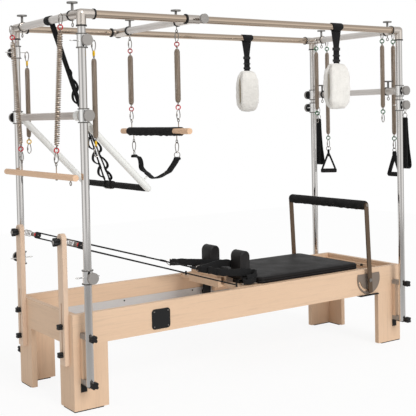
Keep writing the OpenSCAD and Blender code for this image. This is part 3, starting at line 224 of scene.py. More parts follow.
def webbing(name, colour=lin(23, 23, 24), scale=330.0):
    mt, nt, b = base(name, rough=0.8, Sheen_Weight=0.06, Sheen_Roughness=0.5, Specular_IOR_Level=0.2)
    a, d = (pattern(nt, "Wave", scale, way, bands_direction="DIAGONAL", Distortion=1.0)
            for way in ((1, 0.2, 1), (-1, 1, 1)))
    weave = multiply(nt, a, d)
    paint(nt, b, ramp(nt, weave, [(0.0, tone(colour, 0.6)), (1.0, tone(colour, 1.6))]))
    bump(nt, b, weave, 0.5, 0.0005)
    return mt


def fleecy(name, colour):
    mt, nt, b = base(name, rough=0.95, Sheen_Weight=0.5, Sheen_Roughness=0.6)
    pile = pattern(nt, "Noise", 170.0, Detail=6.0, Roughness=0.75)
    tufts = pattern(nt, "Noise", 26.0, Detail=3.0)
    c = ramp(nt, tufts, [(0.3, tone(colour, 0.9)), (0.7, colour)])
    d = ramp(nt, pile, [(0.3, (0.86, 0.85, 0.83, 1)), (0.6, (1, 1, 1, 1))])
    paint(nt, b, multiply(nt, c, d))
    bump(nt, b, pile, 0.9, 0.004, after=bump(nt, b, tufts, 0.5, 0.008))
    return mt


MAPLE = lin(223, 192, 163)
BIRCH = lin(223, 196, 172)
wood_x = wood("wood_along_x", 0, MAPLE)
wood_y = wood("wood_along_y", 1, MAPLE)
wood_z = wood("wood_along_z", 2, tone(MAPLE, 0.97))
post_wood = wood("post_wood", 2, BIRCH)
dowel_wood = wood("dowel_wood", 1, lin(230, 193, 160))
alu = metal("track_metal", lin(214, 211, 209), 0.45, axis=0, metallic=0.4)
silver = metal("silver_tube", lin(224, 221, 218), 0.11, axis=2, scratch=0.04)
silver_y = metal("silver_cross_tube", lin(232, 227, 222), 0.42, axis=1, metallic=0.5)
grey_y = metal("grey_cross_tube", lin(208, 199, 192), 0.45, axis=1, metallic=0.5)
sleeve = metal("polished_sleeve", lin(244, 243, 241), 0.13, scratch=0.05)
edge_grey = metal("sleeve_edge", lin(120, 117, 113), 0.4, scratch=0.1, metallic=0.8)
champagne = metal("warm_tube", lin(206, 187, 168), 0.10, axis=0, scratch=0.05)
fitting = metal("corner_casting", lin(222, 213, 204), 0.2, scratch=0.1)
hammered = metal("hammered_grey", lin(158, 154, 150), 0.5, hammered=0.6, metallic=0.5)
screw_grey = metal("hand_screw_grey", lin(132, 130, 127), 0.45, hammered=0.3, metallic=0.6)
bright = metal("bright_wire", lin(158, 152, 146), 0.26, scratch=0.1)
coil = metal("spring_wire", lin(186, 170, 154), 0.36, scratch=0.1, metallic=0.85)
taupe = metal("taupe_plate", lin(140, 127, 116), 0.46, hammered=0.2, metallic=0.5)
bronze = metal("bronze_arm", lin(112, 94, 78), 0.3, axis=2, scratch=0.12, metallic=0.8)
offwhite = metal("offwhite_arm", lin(240, 240, 236), 0.42, axis=0, metallic=0.2)
black = plastic("black_plastic", lin(25, 25, 26), 0.5)
rubber = plastic("black_rubber", lin(25, 25, 25), 0.8, 500.0, 0.3)
red = plastic("red_ring", lin(200, 22, 40), 0.4)
yellow = plastic("yellow_ring", lin(232, 184, 8), 0.4)
green = plastic("green_ring", lin(16, 110, 62), 0.4)
leather = vinyl("black_vinyl")
rest_leather = vinyl("black_rest_vinyl", 0.4)
piping = vinyl("black_piping", 0.5)
grip_foam = foam("grip_foam")
web = webbing("black_webbing")
pad_web = webbing("padded_webbing", lin(27, 27, 28), 240.0)
rope_mat = webbing("rope_braid", lin(26, 26, 27), 520.0)
fleece = fleecy("fleece", lin(248, 245, 239))
felt = fleecy("fleece_lining", lin(219, 208, 186))


# ---- geometry
def frames(path, closed=False, up=None):
    """Direction, side and third axis at each point of a path; up keeps the side level."""
    n = len(path)
    out = []
    prev = None
    for i in range(n):
        a = path[(i - 1) % n] if closed else path[max(i - 1, 0)]
        b = path[(i + 1) % n] if closed else path[min(i + 1, n - 1)]
        t = (b - a).normalized()
        if up is not None:
            s = up.cross(t).normalized()
        else:
            if prev is None:
                ref = Z if abs(t.z) < 0.9 else X
                s = ref.cross(t).normalized()
            else:
                s = (prev - t * prev.dot(t)).normalized()
            prev = s
        out.append((t, s, t.cross(s)))
    return out


def skin(rows, cols, closed=False, flip=False, caps=True):
    """Faces over rows of points, each row a closed ring; closed joins the last row to the first."""
    fs = []
    for i in range(rows if closed else rows - 1):
        for j in range(cols):
            a, b = i * cols + j, i * cols + (j + 1) % cols
            c, d = (i + 1) % rows * cols + (j + 1) % cols, (i + 1) % rows * cols + j
            fs.append((a, d, c, b) if flip else (a, b, c, d))
    if caps and not closed:
        first, last = tuple(range(cols)), tuple(range((rows - 1) * cols, rows * cols))
        fs += [first, last[::-1]] if flip else [first[::-1], last]
    return fs


def stack(rows, flip=False):
    return [q for row in rows for q in row], skin(len(rows), len(rows[0]), flip=flip)


def sweep(path, shape, closed=False, up=None, scales=None, wides=None):
    """A flat outline carried along a path, with optional scale and width at each point."""
    path = [V(q) for q in path]
    fr = frames(path, closed, up)
    vs = []
    for i, (c, (t, s, u)) in enumerate(zip(path, fr)):
        g = scales[i] if scales else 1.0
        w = wides[i] if wides else 1.0
        vs += [c + s * (q[0] * g) + u * (q[1] * g * w) for q in shape]
    return vs, skin(len(path), len(shape), closed)


def circle(r, n=10):
    return [(r * cos(2 * pi * i / n), r * sin(2 * pi * i / n)) for i in range(n)]


def band(t, w, e=None):
    """Outline of a strap, t thick and w wide, with eased edges."""
    e = e or t * 0.45
    x, y = t / 2, w / 2
    return [(-x + e * 0.3, -y), (x - e * 0.3, -y), (x, -y + e), (x, y - e), (x - e * 0.3, y), (-x + e * 0.3, y),
            (-x, y - e), (-x, -y + e)]


def lathe(profile, seg=32):
    """A profile of (radius, height) turned about Z."""
    vs = [V((r * cos(2 * pi * j / seg), r * sin(2 * pi * j / seg), z))
          for r, z in profile for j in range(seg)]
    return vs, skin(len(profile), seg)


def ring(c, axis, r, w, n=28, k=8, squash=1.0):
    axis = V(axis).normalized()
    a = axis.orthogonal().normalized()
    b = axis.cross(a)
    path = [V(c) + a * (r * cos(2 * pi * i / n)) + b * (r * sin(2 * pi * i / n)) for i in range(n)]
    return sweep(path, [(x, y * squash) for x, y in circle(w, k)], closed=True, up=axis)


def spline(points, per=8, closed=False):
    p = [V(q) for q in points]
    n = len(p)
    out = []
    for i in range(n if closed else n - 1):
        p0 = p[(i - 1) % n] if closed or i > 0 else p[0] * 2 - p[1]
        p1, p2 = p[i], p[(i + 1) % n]
        p3 = p[(i + 2) % n] if closed or i + 2 < n else p[-1] * 2 - p[-2]
        for k in range(per):
            t = k / per
            out.append(0.5 * ((2 * p1) + (p2 - p0) * t + (2 * p0 - 5 * p1 + 4 * p2 - p3) * t * t
                              + (3 * p1 - p0 - 3 * p2 + p3) * t ** 3))
    if not closed:
        out.append(p[-1])
    return out


def turn(axis_to, at=(0, 0, 0)):
    """Matrix that stands Z along axis_to and moves to at."""
    q = Z.rotation_difference(V(axis_to).normalized())
    mm = q.to_matrix().to_4x4()
    mm.translation = V(at)
    return mm


class Piece:
    """Collects meshes with their materials, then makes one object of them."""
    def __init__(self, name):
        self.name, self.v, self.f, self.k, self.mats = name, [], [], [], []

    def add(self, vf, mat, at=None):
        vs, fs = vf
        o = len(self.v)
        self.v += [(at @ V(q)) if at is not None else V(q) for q in vs]
        self.f += [tuple(i + o for i in f) for f in fs]
        if mat not in self.mats:
            self.mats.append(mat)
        self.k += [self.mats.index(mat)] * len(fs)
        return self

    def make(self, body, slot, replaces=(), fill=None, across=None):
        """across=(other body, start, end) leaves the piece unattached, its transform baked; the bodies and points in
        it are not used.
        """
        me = bpy.data.meshes.new(self.name)
        me.from_pydata([tuple(q) for q in self.v], [], self.f)
        for mt in self.mats:
            me.materials.append(mt)
        me.polygons.foreach_set("material_index", self.k)
        me.polygons.foreach_set("use_smooth", [True] * len(me.polygons))
        me.set_sharp_from_angle(angle=radians(40))
        me.update()
        ob = place(self.name, me)
        if across:
            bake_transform(ob)
        else:
            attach(ob, body)
        if replaces:
            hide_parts(*replaces)


# ---- springs and hooks
HOOK = 0.098
EYE_GAP = 0.00535


def local(a, b):
    """A frame at a whose third axis runs from b up to a."""
    a, b = V(a), V(b)
    u = (a - b).normalized()
    x = (X - u * u.x).normalized()
    y = u.cross(x)
    return lambda p: a + x * p[0] + y * p[1] + u * p[2]


def snap_hook(at, flip=1, wide=0.0112, length=0.0615):
    pts = []
    for i in range(32):
        t = 2 * pi * i / 32
        z = EYE_GAP - length / 2 * (1 - cos(t))
        x = wide * sin(t) * (1 + 0.28 * cos(t))
        pts.append(at((x, 0, z * flip)))
    return pts


def hook_set(piece, at, colour, flip=1, lean=1.0):
    """Carabiner with its barrel, coloured ring and small eye at one end of a spring."""
    ax = (at((1, 0, 0)) - at((0, 0, 0)))
    ay = (at((0, 1, 0)) - at((0, 0, 0)))
    piece.add(sweep(snap_hook(at, flip), circle(0.0026, 8), closed=True, up=ay.normalized()), bright)
    barrel = [at((-0.0101, 0, flip * -z)) for z in (0.012, 0.016, 0.030, 0.034)]
    piece.add(sweep(barrel, circle(1, 10), scales=[0.0026, 0.0044, 0.0044, 0.0026]), bright)
    piece.add(ring(at((0, 0, flip * -0.0641)), ax + ay * lean, 0.01275, 0.0032, squash=1.6), colour)
    piece.add(ring(at((0, 0, flip * -0.079)), ax, 0.007, 0.0024), bright)


def wound(at, length, d, wire, pitch, steps=12, sides=6):
    r_end = 0.0035
    taper = d * 0.75
    start, stop = HOOK - 0.008, length - HOOK + 0.008
    turns = int((stop - start) / pitch)
    pts = [at((0, 0, -HOOK + 0.0115))]
    for i in range(turns * steps + 1):
        k = i / (turns * steps)
        z = start + (stop - start) * k
        e = min(1, min(z - start, stop - z) / taper)
        r = r_end + (d / 2 - wire / 2 - r_end) * sqrt(max(0, 1 - (1 - e) ** 2))
        a = 2 * pi * i / steps
        pts.append(at((r * cos(a), r * sin(a), -z)))
    pts.append(at((0, 0, -length + HOOK - 0.0115)))
    return sweep(pts, circle(wire / 2, sides))


def spring(piece, a, b, d, colour, wire=0.0026, pitch=0.0028, leans=(1.0, 1.0)):
    at = local(a, b)
    length = (V(a) - V(b)).length
    hook_set(piece, at, colour, 1, leans[0])
    low = lambda p: at((p[0], p[1], p[2] - length))
    hook_set(piece, low, colour, -1, leans[1])
    piece.add(wound(at, length, d, wire, pitch, steps=10 if wire < 0.003 else 14), coil)
    return piece


TRAPEZE_X = -0.48
p = Piece("trapeze_spring_pair")
for s in (-1, 1):
    spring(p, (TRAPEZE_X, s * 0.268, 2.0215), (TRAPEZE_X, s * 0.268, 1.5325), 0.034, red)
p.make("trapeze", "spring_steel", ["trapeze_springs"])

ROLL_X = -1.231
p = Piece("roll_down_spring_pair")
for s in (-1, 1):
    spring(p, (ROLL_X, s * SPRING_Y, TOP_Z), (ROLL_X, s * 0.228, 1.3135), 0.031, red, wire=0.0078, pitch=0.0117)
p.make("roll_down", "spring_steel", ["rolldown_springs"])

for s, n in ((-1, "near"), (1, "far")):
    part = "side_spring_" + n
    spring(Piece(part + "_coil"), (-1.097, s * TUBE_Y, 1.943), (-1.097, s * TUBE_Y, 1.348), 0.029, yellow,
           leans=(-0.35, 1.0 if s > 0 else -0.45)).make(part, "spring_steel", [part])
    part = "arm_spring_" + n
    spring(Piece(part + "_coil"), (1.112, s * SPRING_Y, TOP_Z), (1.112, s * SPRING_Y, 1.485), 0.030,
           green).make(part, "spring_steel", [part])


# ---- handles on the long springs
def handle(piece, x, y, turned):
    z0 = TOP_Z - 0.781
    rot = Matrix.Translation((x, y, z0)) @ Matrix.Rotation(turned, 4, "Z")
    piece.add(ring((0, 0, -0.015), (1, 0, 0), 0.015, 0.0026), bright, rot)
    top = -0.027
    piece.add(sweep([(0, 0, top + 0.006), (0, 0, top - 0.004), (0, 0, top - 0.034), (0, 0, top - 0.046)],
                    band(0.015, 0.030, 0.005), up=X, scales=[0.75, 1, 1, 0.95]), web, rot)
    for s in (-1, 1):
        pts = spline([(0, s * 0.003, top - 0.026), (0, s * 0.014, top - 0.052), (0, s * 0.034, top - 0.102),
                      (0, s * 0.0485, top - 0.140), (0, s * 0.0515, top - 0.152)], 5)
        piece.add(sweep(pts, band(0.0132, 0.028, 0.004), up=X), web, rot)
    prof = []
    n = 30
    for i in range(n + 1):
        k = i / n
        z = -0.058 + 0.116 * k
        e = min(1, min(k, 1 - k) * 14)
        r = 0.0152 * (0.72 + 0.28 * sqrt(e)) + 0.0003 * sin(k * 60)
        prof.append((r, z))
    piece.add(lathe(prof, 28), grip_foam, rot @ turn((0, 1, 0), (0, 0, top - 0.150)))


for s, n, t in ((-1, "near", 0.0), (1, "far", radians(50))):
    p = spring(Piece("handle_" + n + "_spring"), (ARM_X, s * SPRING_Y, TOP_Z), (ARM_X, s * SPRING_Y, 1.302), 0.030,
               green)
    handle(p, ARM_X, s * SPRING_Y, t)
    p.make("handle_" + n, "black_webbing", ["handle_spring_" + n])


# ---- foot loops
def foot_loop(piece, y):
    x, z = ARM_X, 1.59
    at = lambda q: V((x + q[0], y + q[1], z + q[2]))
    piece.add(sweep(snap_hook(at), circle(0.0021, 8), closed=True, up=Y), bright)
    d_top = EYE_GAP - 0.0615 + 0.0048
    piece.add(ring(at((0, 0, d_top - 0.017)), (1, 0, 0), 0.017, 0.0022), bright)
    top = d_top - 0.034
    low = -0.42
    pts = [(0.0005, 0, top - 0.0035), (0.0052, 0, top - 0.002), (0.006, 0, top - 0.03), (0.0065, 0, top - 0.09),
           (0.010, 0, top - 0.20), (0.018, 0, low + 0.055)]
    for i in range(13):
        a = pi * i / 12
        pts.append((0.002 + 0.018 * cos(a), 0, low + 0.020 - 0.020 * sin(a)))
    pts += [(-0.0145, 0, low + 0.055), (-0.0095, 0, top - 0.20), (-0.0065, 0, top - 0.09), (-0.006, 0, top - 0.03),
            (-0.0052, 0, top - 0.002), (-0.0005, 0, top - 0.0035)]
    path = spline([at(q) for q in pts], 3)
    wides = []
    for q in path:
        k = min(1, max(0, (z + top - q.z) / 0.30))
        wides.append(0.82 + 0.86 * k ** 1.2)
    piece.add(sweep(path, band(0.0078, 0.038, 0.004), up=Y, wides=wides), pad_web)
    for e in (-0.30, 0.30):
        seam = [q + V((0, e * 0.038 * w * 1.25, 0)) for q, w in zip(path, wides)]
        piece.add(sweep(seam, band(0.0086, 0.0012, 0.0004), up=Y), piping)
    for dz in (0.012, 0.040):
        piece.add(sweep([at((-0.0115, 0, top - dz)), at((0.0115, 0, top - dz))], band(0.0022, 0.032), up=Y),
                  web)


for s, n in ((-1, "near"), (1, "far")):
    p = Piece("foot_loop_" + n + "_strap")
    foot_loop(p, s * TUBE_Y)
    p.make("foot_loop_" + n, "black_webbing", ["foot_loop_" + n])


# ---- fleece loops
def fleece_piece(n, x, y, k):
    p = Piece("fleece_" + n + "_loop")
    zm, hh, hd = 1.714, 0.124, 0.0285
    path = []
    for i in range(64):
        a = 2 * pi * i / 64
        c, s = cos(a), sin(a)
        path.append(V((x, y + hd * copysign(abs(c) ** 0.75, c), zm + hh * copysign(abs(s) ** 0.85, s))))
    wides = [1.02 - 0.34 * max(0, (q.z - zm) / hh) ** 5 - 0.24 * max(0, -(q.z - zm) / hh) ** 6 for q in path]
    shape = []
    for i in range(28):
        a = 2 * pi * i / 28
        c, s = cos(a), sin(a)
        shape.append((0.0183 * copysign(abs(c) ** 0.62, c), 0.0715 * k * copysign(abs(s) ** 0.36, s)))
    vs, fs = sweep(path, shape, closed=True, up=X, wides=wides)
    out = []
    for q in vs:
        c = V((x, y, zm))
        d = (q - c)
        puff = noise.noise(q * 40 + V((3.1, y, 0))) * 0.0044 + noise.noise(q * 120) * 0.0018
        out.append(q + V((d.x, d.y * 2.2, d.z * 0.5)).normalized() * puff)
    p.add((out, fs), fleece)
    for s2 in (-1, 1):
        lining = [V((x, y + s2 * 0.0088, zm - 0.088 + 0.176 * i / 8)) for i in range(9)]
        p.add(sweep(lining, band(0.0016, 0.126), up=X), felt)
    wrap = []
    for i in range(29):
        a = radians(-82) + radians(344) * i / 28
        wrap.append(V((x, y + 0.0238 * cos(a), TOP_Z + 0.0238 * sin(a))))
    w2 = [0.62 + 0.38 * min(1, min(i, 28 - i) / 6) for i in range(29)]
    p.add(sweep(wrap, band(0.0044, 0.084), up=X, wides=w2), web)
    neck = spline([(x, y, 2.062), (x, y, 2.040), (x, y, 2.010), (x, y, 1.965), (x, y, 1.90), (x, y, 1.846)], 4)
    w3 = [1.72 - 0.72 * min(1, max(0, (2.062 - q.z) / 0.095)) for q in neck]
    p.add(sweep(neck, band(0.0058, 0.046), up=X, wides=w3), web)
    for z, h, wd in ((1.874, 0.014, 0.054), (1.905, 0.010, 0.052), (1.946, 0.018, 0.055)):
        p.add(sweep([(x, y, z - h / 2), (x, y, z + h / 2)], band(0.0135, wd, 0.004), up=X), black)
    p.make("fleece_" + n, "fleece", ["fleece_loop_" + n])


fleece_piece("near", 0.604, -TUBE_Y, 1.08)
fleece_piece("far", 0.552, TUBE_Y, 1.0)


# ---- sling
def sling():
    p = Piece("sling_strap")
    for s in (-1, 1):
        at = lambda q, s=s: V((TRAPEZE_X + q[0], s * 0.246 + q[1], 1.3905 + q[2]))
        p.add(sweep(snap_hook(at), circle(0.0026, 8), closed=True, up=Y), bright)
        p.add(ring(at((0, 0, -0.0674)), (1, -1, 0) if s > 0 else (0.4, 1, 0), 0.0165, 0.0024), bright)
    hung = [(-0.247, 1.3066), (-0.241, 1.300), (-0.221, 1.279), (-0.185, 1.249), (-0.147, 1.2215), (-0.10, 1.2035),
            (-0.053, 1.1875), (0.0, 1.1775), (0.036, 1.179), (0.072, 1.193), (0.108, 1.209), (0.142, 1.221),
            (0.163, 1.237), (0.166, 1.258), (0.172, 1.280), (0.190, 1.298), (0.214, 1.300), (0.236, 1.3066),
            (0.246, 1.3120)]
    path = spline([(TRAPEZE_X, y, h) for y, h in hung], 6)
    wides = [1.12 - 0.22 * min(1, max(0, (q.y + 0.15) / 0.06)) + 0.10 * sin(q.y * 95) * (q.y > 0.08)
             for q in path]
    p.add(sweep(path, band(0.0058, 0.038, 0.002), up=X, wides=wides), web)
    inner = [q + V((0, 0.0015, 0.0042)) for q in path if -0.15 < q.y < 0.02]
    p.add(sweep(inner, band(0.003, 0.036, 0.001), up=X), web)
    for y, h, a in ((-0.246, 1.304, -0.7), (0.246, 1.306, 0.5)):
        m4 = Matrix.Translation((TRAPEZE_X, y, h)) @ Matrix.Rotation(a, 4, "X")
        p.add(sweep([(0, 0, -0.009), (0, 0, 0.006)], band(0.0105, 0.040, 0.003), up=X), web, m4)
    m4 = Matrix.Translation((TRAPEZE_X, -0.147, 1.2225)) @ Matrix.Rotation(radians(-30), 4, "X")
    frame_pts = [V((-0.0235, -0.010, 0)), V((0.0235, -0.010, 0)), V((0.0235, 0.010, 0)), V((-0.0235, 0.010, 0))]
    p.add(sweep(frame_pts, circle(0.0026, 8), closed=True, up=Z), bright, m4)
    p.add(sweep([(-0.022, 0, 0.0035), (0.022, 0, 0.0035)], circle(0.0026, 8)), bright, m4)
    p.make("trapeze_sling", "black_webbing", ["sling"])


sling()


# ---- safety strap
def along(points, k):
    """The point at share k of a broken line."""
    p = [V(q) for q in points]
    seg = [(b - a).length for a, b in zip(p, p[1:])]
    s = k * sum(seg)
    for a, b, l in zip(p, p[1:], seg):
        if s <= l:
            return a.lerp(b, s / l)
        s -= l
    return p[-1]


def safety_strap():
    p = Piece("safety_strap_webbing")
    face = V((0.82, -0.57, 0))
    aside = V((-0.82, 0.57, 0))
    turns = ((V((-1.164, -0.049, TOP_Z)), 0.0236, 0.056, 0.2), (V((-0.7602, 0.094, 1.1542)), 0.0211, 0.026, 0.0),
             (V((-0.7602, 0.030, 1.1542)), 0.0211, 0.026, 0.0))
    for c, r, w, tilt in turns:
        loop = [c + V((r * cos(a), tilt * r * sin(a) * 0.6, r * sin(a)))
                for a in [2 * pi * i / 32 for i in range(32)]]
        p.add(sweep(loop, band(0.0038, w), closed=True, up=Y), web)
    leg1 = [(-1.1545, -0.060, 2.062), (-0.900, 0.033, 1.463), (-0.7695, 0.096, 1.1735)]
    leg2 = [(-1.1545, -0.060, 2.062), (-0.975, 0.016, 1.632), (-0.900, -0.005, 1.445), (-0.7695, 0.028, 1.1735)]
    high = [along(leg1, k / 24) for k in range(13)]
    p.add(sweep(high, band(0.0042, 0.024), up=face, wides=[1.25 if i < 5 else 1.0 for i in range(13)]), web)
    p.add(sweep([q + V((0.006, 0.004, 0)) for q in high[2:]], band(0.0042, 0.022), up=face), web)
    for leg in (leg1, leg2):
        low = [along(leg, 0.47 + 0.53 * k / 22) for k in range(23)]
        p.add(sweep(low, band(0.0036, 0.023), up=V((0.15, 0.99, 0))), web)

    def bulge(leg, k0, k1, sgn, out, curl=0.0):
        a, b = along(leg, k0), along(leg, k1)
        pts = []
        for j in range(13):
            u = j / 12
            lift = sgn * out * sin(pi * u) ** 0.7
            pts.append(a.lerp(b, u) - aside * lift + V((0, 0, -curl * sin(pi * u))))
        p.add(sweep(spline(pts, 2), band(0.0034, 0.021), up=V((-0.15, 0.99, 0))), web)
        for c in (a, b):
            d = (along(leg, 1) - along(leg, 0.8)).normalized()
            p.add(sweep([c - d * 0.009, c + d * 0.009], band(0.0074, 0.024, 0.002), up=V((0.15, 0.99, 0))), web)

    for k0, k1, sgn, out in ((0.26, 0.315, 1, 0.014), (0.325, 0.415, 1, 0.024), (0.425, 0.475, 1, 0.015),
                             (0.40, 0.49, -1, 0.022), (0.70, 0.785, -1, 0.024), (0.80, 0.885, -1, 0.025),
                             (0.90, 0.975, -1, 0.020)):
        bulge(leg1, k0, k1, sgn, out, curl=0.010 if sgn < 0 else 0.0)
    for k0, k1, out in ((0.60, 0.66, 0.014), (0.72, 0.80, 0.025), (0.83, 0.91, 0.025), (0.925, 0.985, 0.018)):
        bulge(leg2, k0, k1, 1, out, curl=0.006)
    m4 = Matrix.Translation((-0.7602, 0.062, 1.1320))
    p.add(sweep([(-0.010, -0.030, 0), (0.010, -0.030, 0), (0.010, 0.030, 0), (-0.010, 0.030, 0)],
                circle(0.0028, 8), closed=True, up=Z), bright, m4)
    p.make("table", "black_webbing", ["safety_strap"])


safety_strap()


# ---- ropes
SHEAVE_X, SHEAVE_Z = -1.22 + 0.0965 * cos(radians(17.5)), PULLEY_Z - 0.0965 * sin(radians(17.5))
for s, n in ((-1, "near"), (1, "far")):
    r = 0.0153
    knee = V((-0.61, s * ROPE_Y, 0.6885))
    path = [V((-0.104, s * ROPE_Y, 0.528)).lerp(knee, k / 12) for k in range(12)]
    first = V((SHEAVE_X + r * cos(radians(253)), s * ROPE_Y, SHEAVE_Z + r * sin(radians(253))))
    path += [knee.lerp(first, k / 14) for k in range(14)]
    for i in range(25):
        a = radians(253 - 7.5 * i)
        path.append(V((SHEAVE_X + r * cos(a), s * ROPE_Y, SHEAVE_Z + r * sin(a))))
    a = radians(73)
    lead = path[-1] + V((0.012 * sin(a), 0, -0.012 * cos(a)))
    end = V((-0.309, s * 0.163, 0.6365))
    path += [lead.lerp(end, k / 24) for k in range(25)]
    p = Piece("rope_" + n + "_braid")
    p.add(sweep(path, circle(0.0041, 10), up=Y), rope_mat)
    for k, w in ((0.80, 0.0056), (0.965, 0.0066)):
        c = lead.lerp(end, k)
        dd = (end - lead).normalized()
        p.add(sweep([c - dd * 0.022, c - dd * 0.018, c + dd * 0.018, c + dd * 0.022], circle(1, 12),
                    scales=[w * 0.7, w, w, w * 0.7]), black)
    p.make("table", "rope", ["rope_" + n], across=("carriage", (-1.10, 0, 0), (-0.33, 0, 0)))


# ---- hand loops round the shoulder rests
def hand_loops():
    p = Piece("hand_loop_pair")
    start = 0.628
    for s in (-1, 1):
        y = lambda v: s * v
        tri = [(-0.318, y(0.163), 0.638), (-0.286, y(0.160), 0.650), (-0.281, y(0.160), 0.630),
               (-0.286, y(0.160), 0.610)]
        p.add(sweep(spline(tri, 4, closed=True), circle(0.0024, 8), closed=True, up=Y), bright)
        if s > 0:
            pts = [(-0.282, 0.160, start), (-0.215, 0.190, 0.622), (-0.120, 0.2175, 0.606), (-0.03, 0.2225, 0.594),
                   (0.047, 0.2225, 0.588), (0.066, 0.2095, 0.586), (0.069, 0.160, 0.588), (0.066, 0.1105, 0.592),
                   (0.047, 0.0985, 0.598), (-0.03, 0.0985, 0.606), (-0.120, 0.1100, 0.618), (-0.215, 0.1380, 0.625)]
        else:
            pts = [(-0.282, 0.160, start), (-0.225, 0.190, 0.616), (-0.160, 0.208, 0.600), (-0.070, 0.2200, 0.590),
                   (0.010, 0.2235, 0.584), (0.050, 0.2225, 0.577), (0.066, 0.2080, 0.574), (0.069, 0.160, 0.580),
                   (0.066, 0.1105, 0.590), (0.047, 0.0985, 0.600), (-0.03, 0.0985, 0.630), (-0.120, 0.1100, 0.634),
                   (-0.215, 0.1380, 0.630)]
        path = spline([(a, y(b), c) for a, b, c in pts], 6, closed=True)
        wides = [0.92 + 0.22 * min(1, max(0, (q.x + 0.25) / 0.12)) + 0.05 * sin(q.x * 120) for q in path]
        p.add(sweep(path, band(0.0052, 0.038, 0.002), closed=True, up=Z, wides=wides), pad_web)
        p.add(sweep([(-0.289, y(0.160), 0.630), (-0.283, y(0.160), 0.630), (-0.262, y(0.166), start - 0.001)],
                    band(0.012, 0.036, 0.003), up=Z, wides=[0.85, 1, 1]), web)
        for x0, h in ((-0.175, 0.616 if s > 0 else 0.604), (-0.235, 0.621)):
            p.add(sweep([(x0 - 0.011, y(0.200), h + 0.001), (x0 + 0.011, y(0.2035), h - 0.001)],
                        band(0.017, 0.042, 0.003), up=Z), web)
    heap = spline([(0.062, -0.2215, 0.578), (0.074, -0.246, 0.580), (0.066, -0.262, 0.578), (0.040, -0.266, 0.552),
                   (0.006, -0.262, 0.538), (-0.024, -0.257, 0.535), (-0.034, -0.268, 0.535), (-0.012, -0.280, 0.535),
                   (0.018, -0.284, 0.537), (0.045, -0.276, 0.546), (0.020, -0.270, 0.556), (-0.008, -0.268, 0.559)], 6)
    wides = [0.95 + 0.22 * noise.noise(q * 40) for q in heap]
    p.add(sweep(heap, band(0.0058, 0.033, 0.002), up=V((0.1, 0.25, 1)).normalized(), wides=wides), pad_web)
    fold = spline([(-0.020, -0.243, 0.534), (0.010, -0.236, 0.538), (0.040, -0.240, 0.548), (0.052, -0.254, 0.556),
                   (0.030, -0.262, 0.560), (0.000, -0.252, 0.556)], 6)
    p.add(sweep(fold, band(0.0058, 0.030, 0.002), up=V((-0.1, -0.35, 1)).normalized()), pad_web)
    for c, a in (((-0.040, -0.262, 0.5225), 0.5), ((0.036, -0.289, 0.5235), -0.4)):
        p.add(ring((0, 0, 0), (0, 0.3, 1), 0.010, 0.0022), bright, Matrix.Translation(c) @ Matrix.Rotation(a, 4, "Z"))
    p.make("carriage", "black_webbing", ["hand_loops"])


hand_loops()


# ---- foam grips
def foam_grip(name, body, part, a, b, r, lumps=0.0, seam=None, bore=0.0, cut=0.0, cut_at=1.57):
    """A foam tube; bore makes it hollow, cut shortens one side of its near end."""
    a, b = V(a), V(b)
    ax = (b - a).normalized()
    L = (b - a).length
    side = V((0, 0, -1)) if abs(ax.z) < 0.9 else X
    v = ax.cross(side).normalized()
    seg, n = 56, max(24, int(L / 0.008))

    def wall(radius, soft):
        vs = []
        for i in range(n + 1):
            for j in range(seg):
                t = 2 * pi * j / seg
                gap = abs((t - cut_at + pi) % (2 * pi) - pi)
                start = cut * min(1, max(0, (1.15 - gap) / 0.12))
                z = start + (L - start) * i / n if start else L * i / n
                e = min(1, min(z - start, L - z) / 0.007)
                rr = radius * (0.90 + 0.10 * sqrt(max(0, e))) if soft else radius
                k = noise.noise((a + ax * z) * 22 + V((0, 0, t))) * 0.0006
                if lumps and soft:
                    near = exp(-(min(t, 2 * pi - t) / 0.30) ** 2)
                    k += near * lumps * (0.35 + 0.65 * abs(noise.noise(V((z * 34, 1.7, 0.3)))) * 2)
                vs.append(a + ax * z + (side * cos(t) + v * sin(t)) * (rr + (k if soft else 0)))
        return vs

    vs = wall(r, True)
    fs = skin(n + 1, seg, caps=not bore)
    if bore:
        o = len(vs)
        vs += wall(bore, False)
        fs += [tuple(o + q for q in f) for f in skin(n + 1, seg, flip=True, caps=False)]
        for j in range(seg):
            k = (j + 1) % seg
            fs.append((k, j, o + j, o + k))
            fs.append((n * seg + j, n * seg + k, o + n * seg + k, o + n * seg + j))
    p = Piece(name)
    p.add((vs, fs), grip_foam)
    if seam is not None:
        t = seam
        line = [a + ax * (0.006 + (L - 0.012) * i / 60) + (side * cos(t) + v * sin(t)) * (r + 0.0004)
                for i in range(61)]
        p.add(sweep(line, circle(0.0011, 6)), piping)
    p.make(body, "black_foam", [part], fill=0.85)


foam_grip("foot_roller_foam", "foot_roller", "footbar_grip", (0.892, -0.3725, 0.940),
          (0.892, 0.3725, 0.940), 0.0293, lumps=0.0045, seam=0.5)
foam_grip("trapeze_foam_cover", "trapeze", "trapeze_foam", (TRAPEZE_X, -0.303, 1.460), (TRAPEZE_X, 0.303, 1.460),
          0.0238, lumps=0.0055, bore=0.0180, cut=0.078, cut_at=1.75)
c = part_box("push_grip")
pg = (c[0] + c[1]) / 2
foam_grip("push_grip_foam", "push_through_bar", "push_grip", (pg.x, c[0].y, pg.z), (pg.x, c[1].y, pg.z),
          (c[1].z - c[0].z) / 2 - 0.0003, lumps=0.0, seam=2.2)


# ---- padded top, head rest and shoulder rests
def rounded(l, w, r, n=10):
    r = min(r, l / 2 - 0.001, w / 2 - 0.001)
    out = []
    for q, (sx, sy) in enumerate(((1, 1), (-1, 1), (-1, -1), (1, -1))):
        for i in range(n):
            a = radians(90 * q + 90 * i / (n - 1))
            out.append((sx * (l / 2 - r) + r * cos(a), sy * (w / 2 - r) + r * sin(a)))
    return out


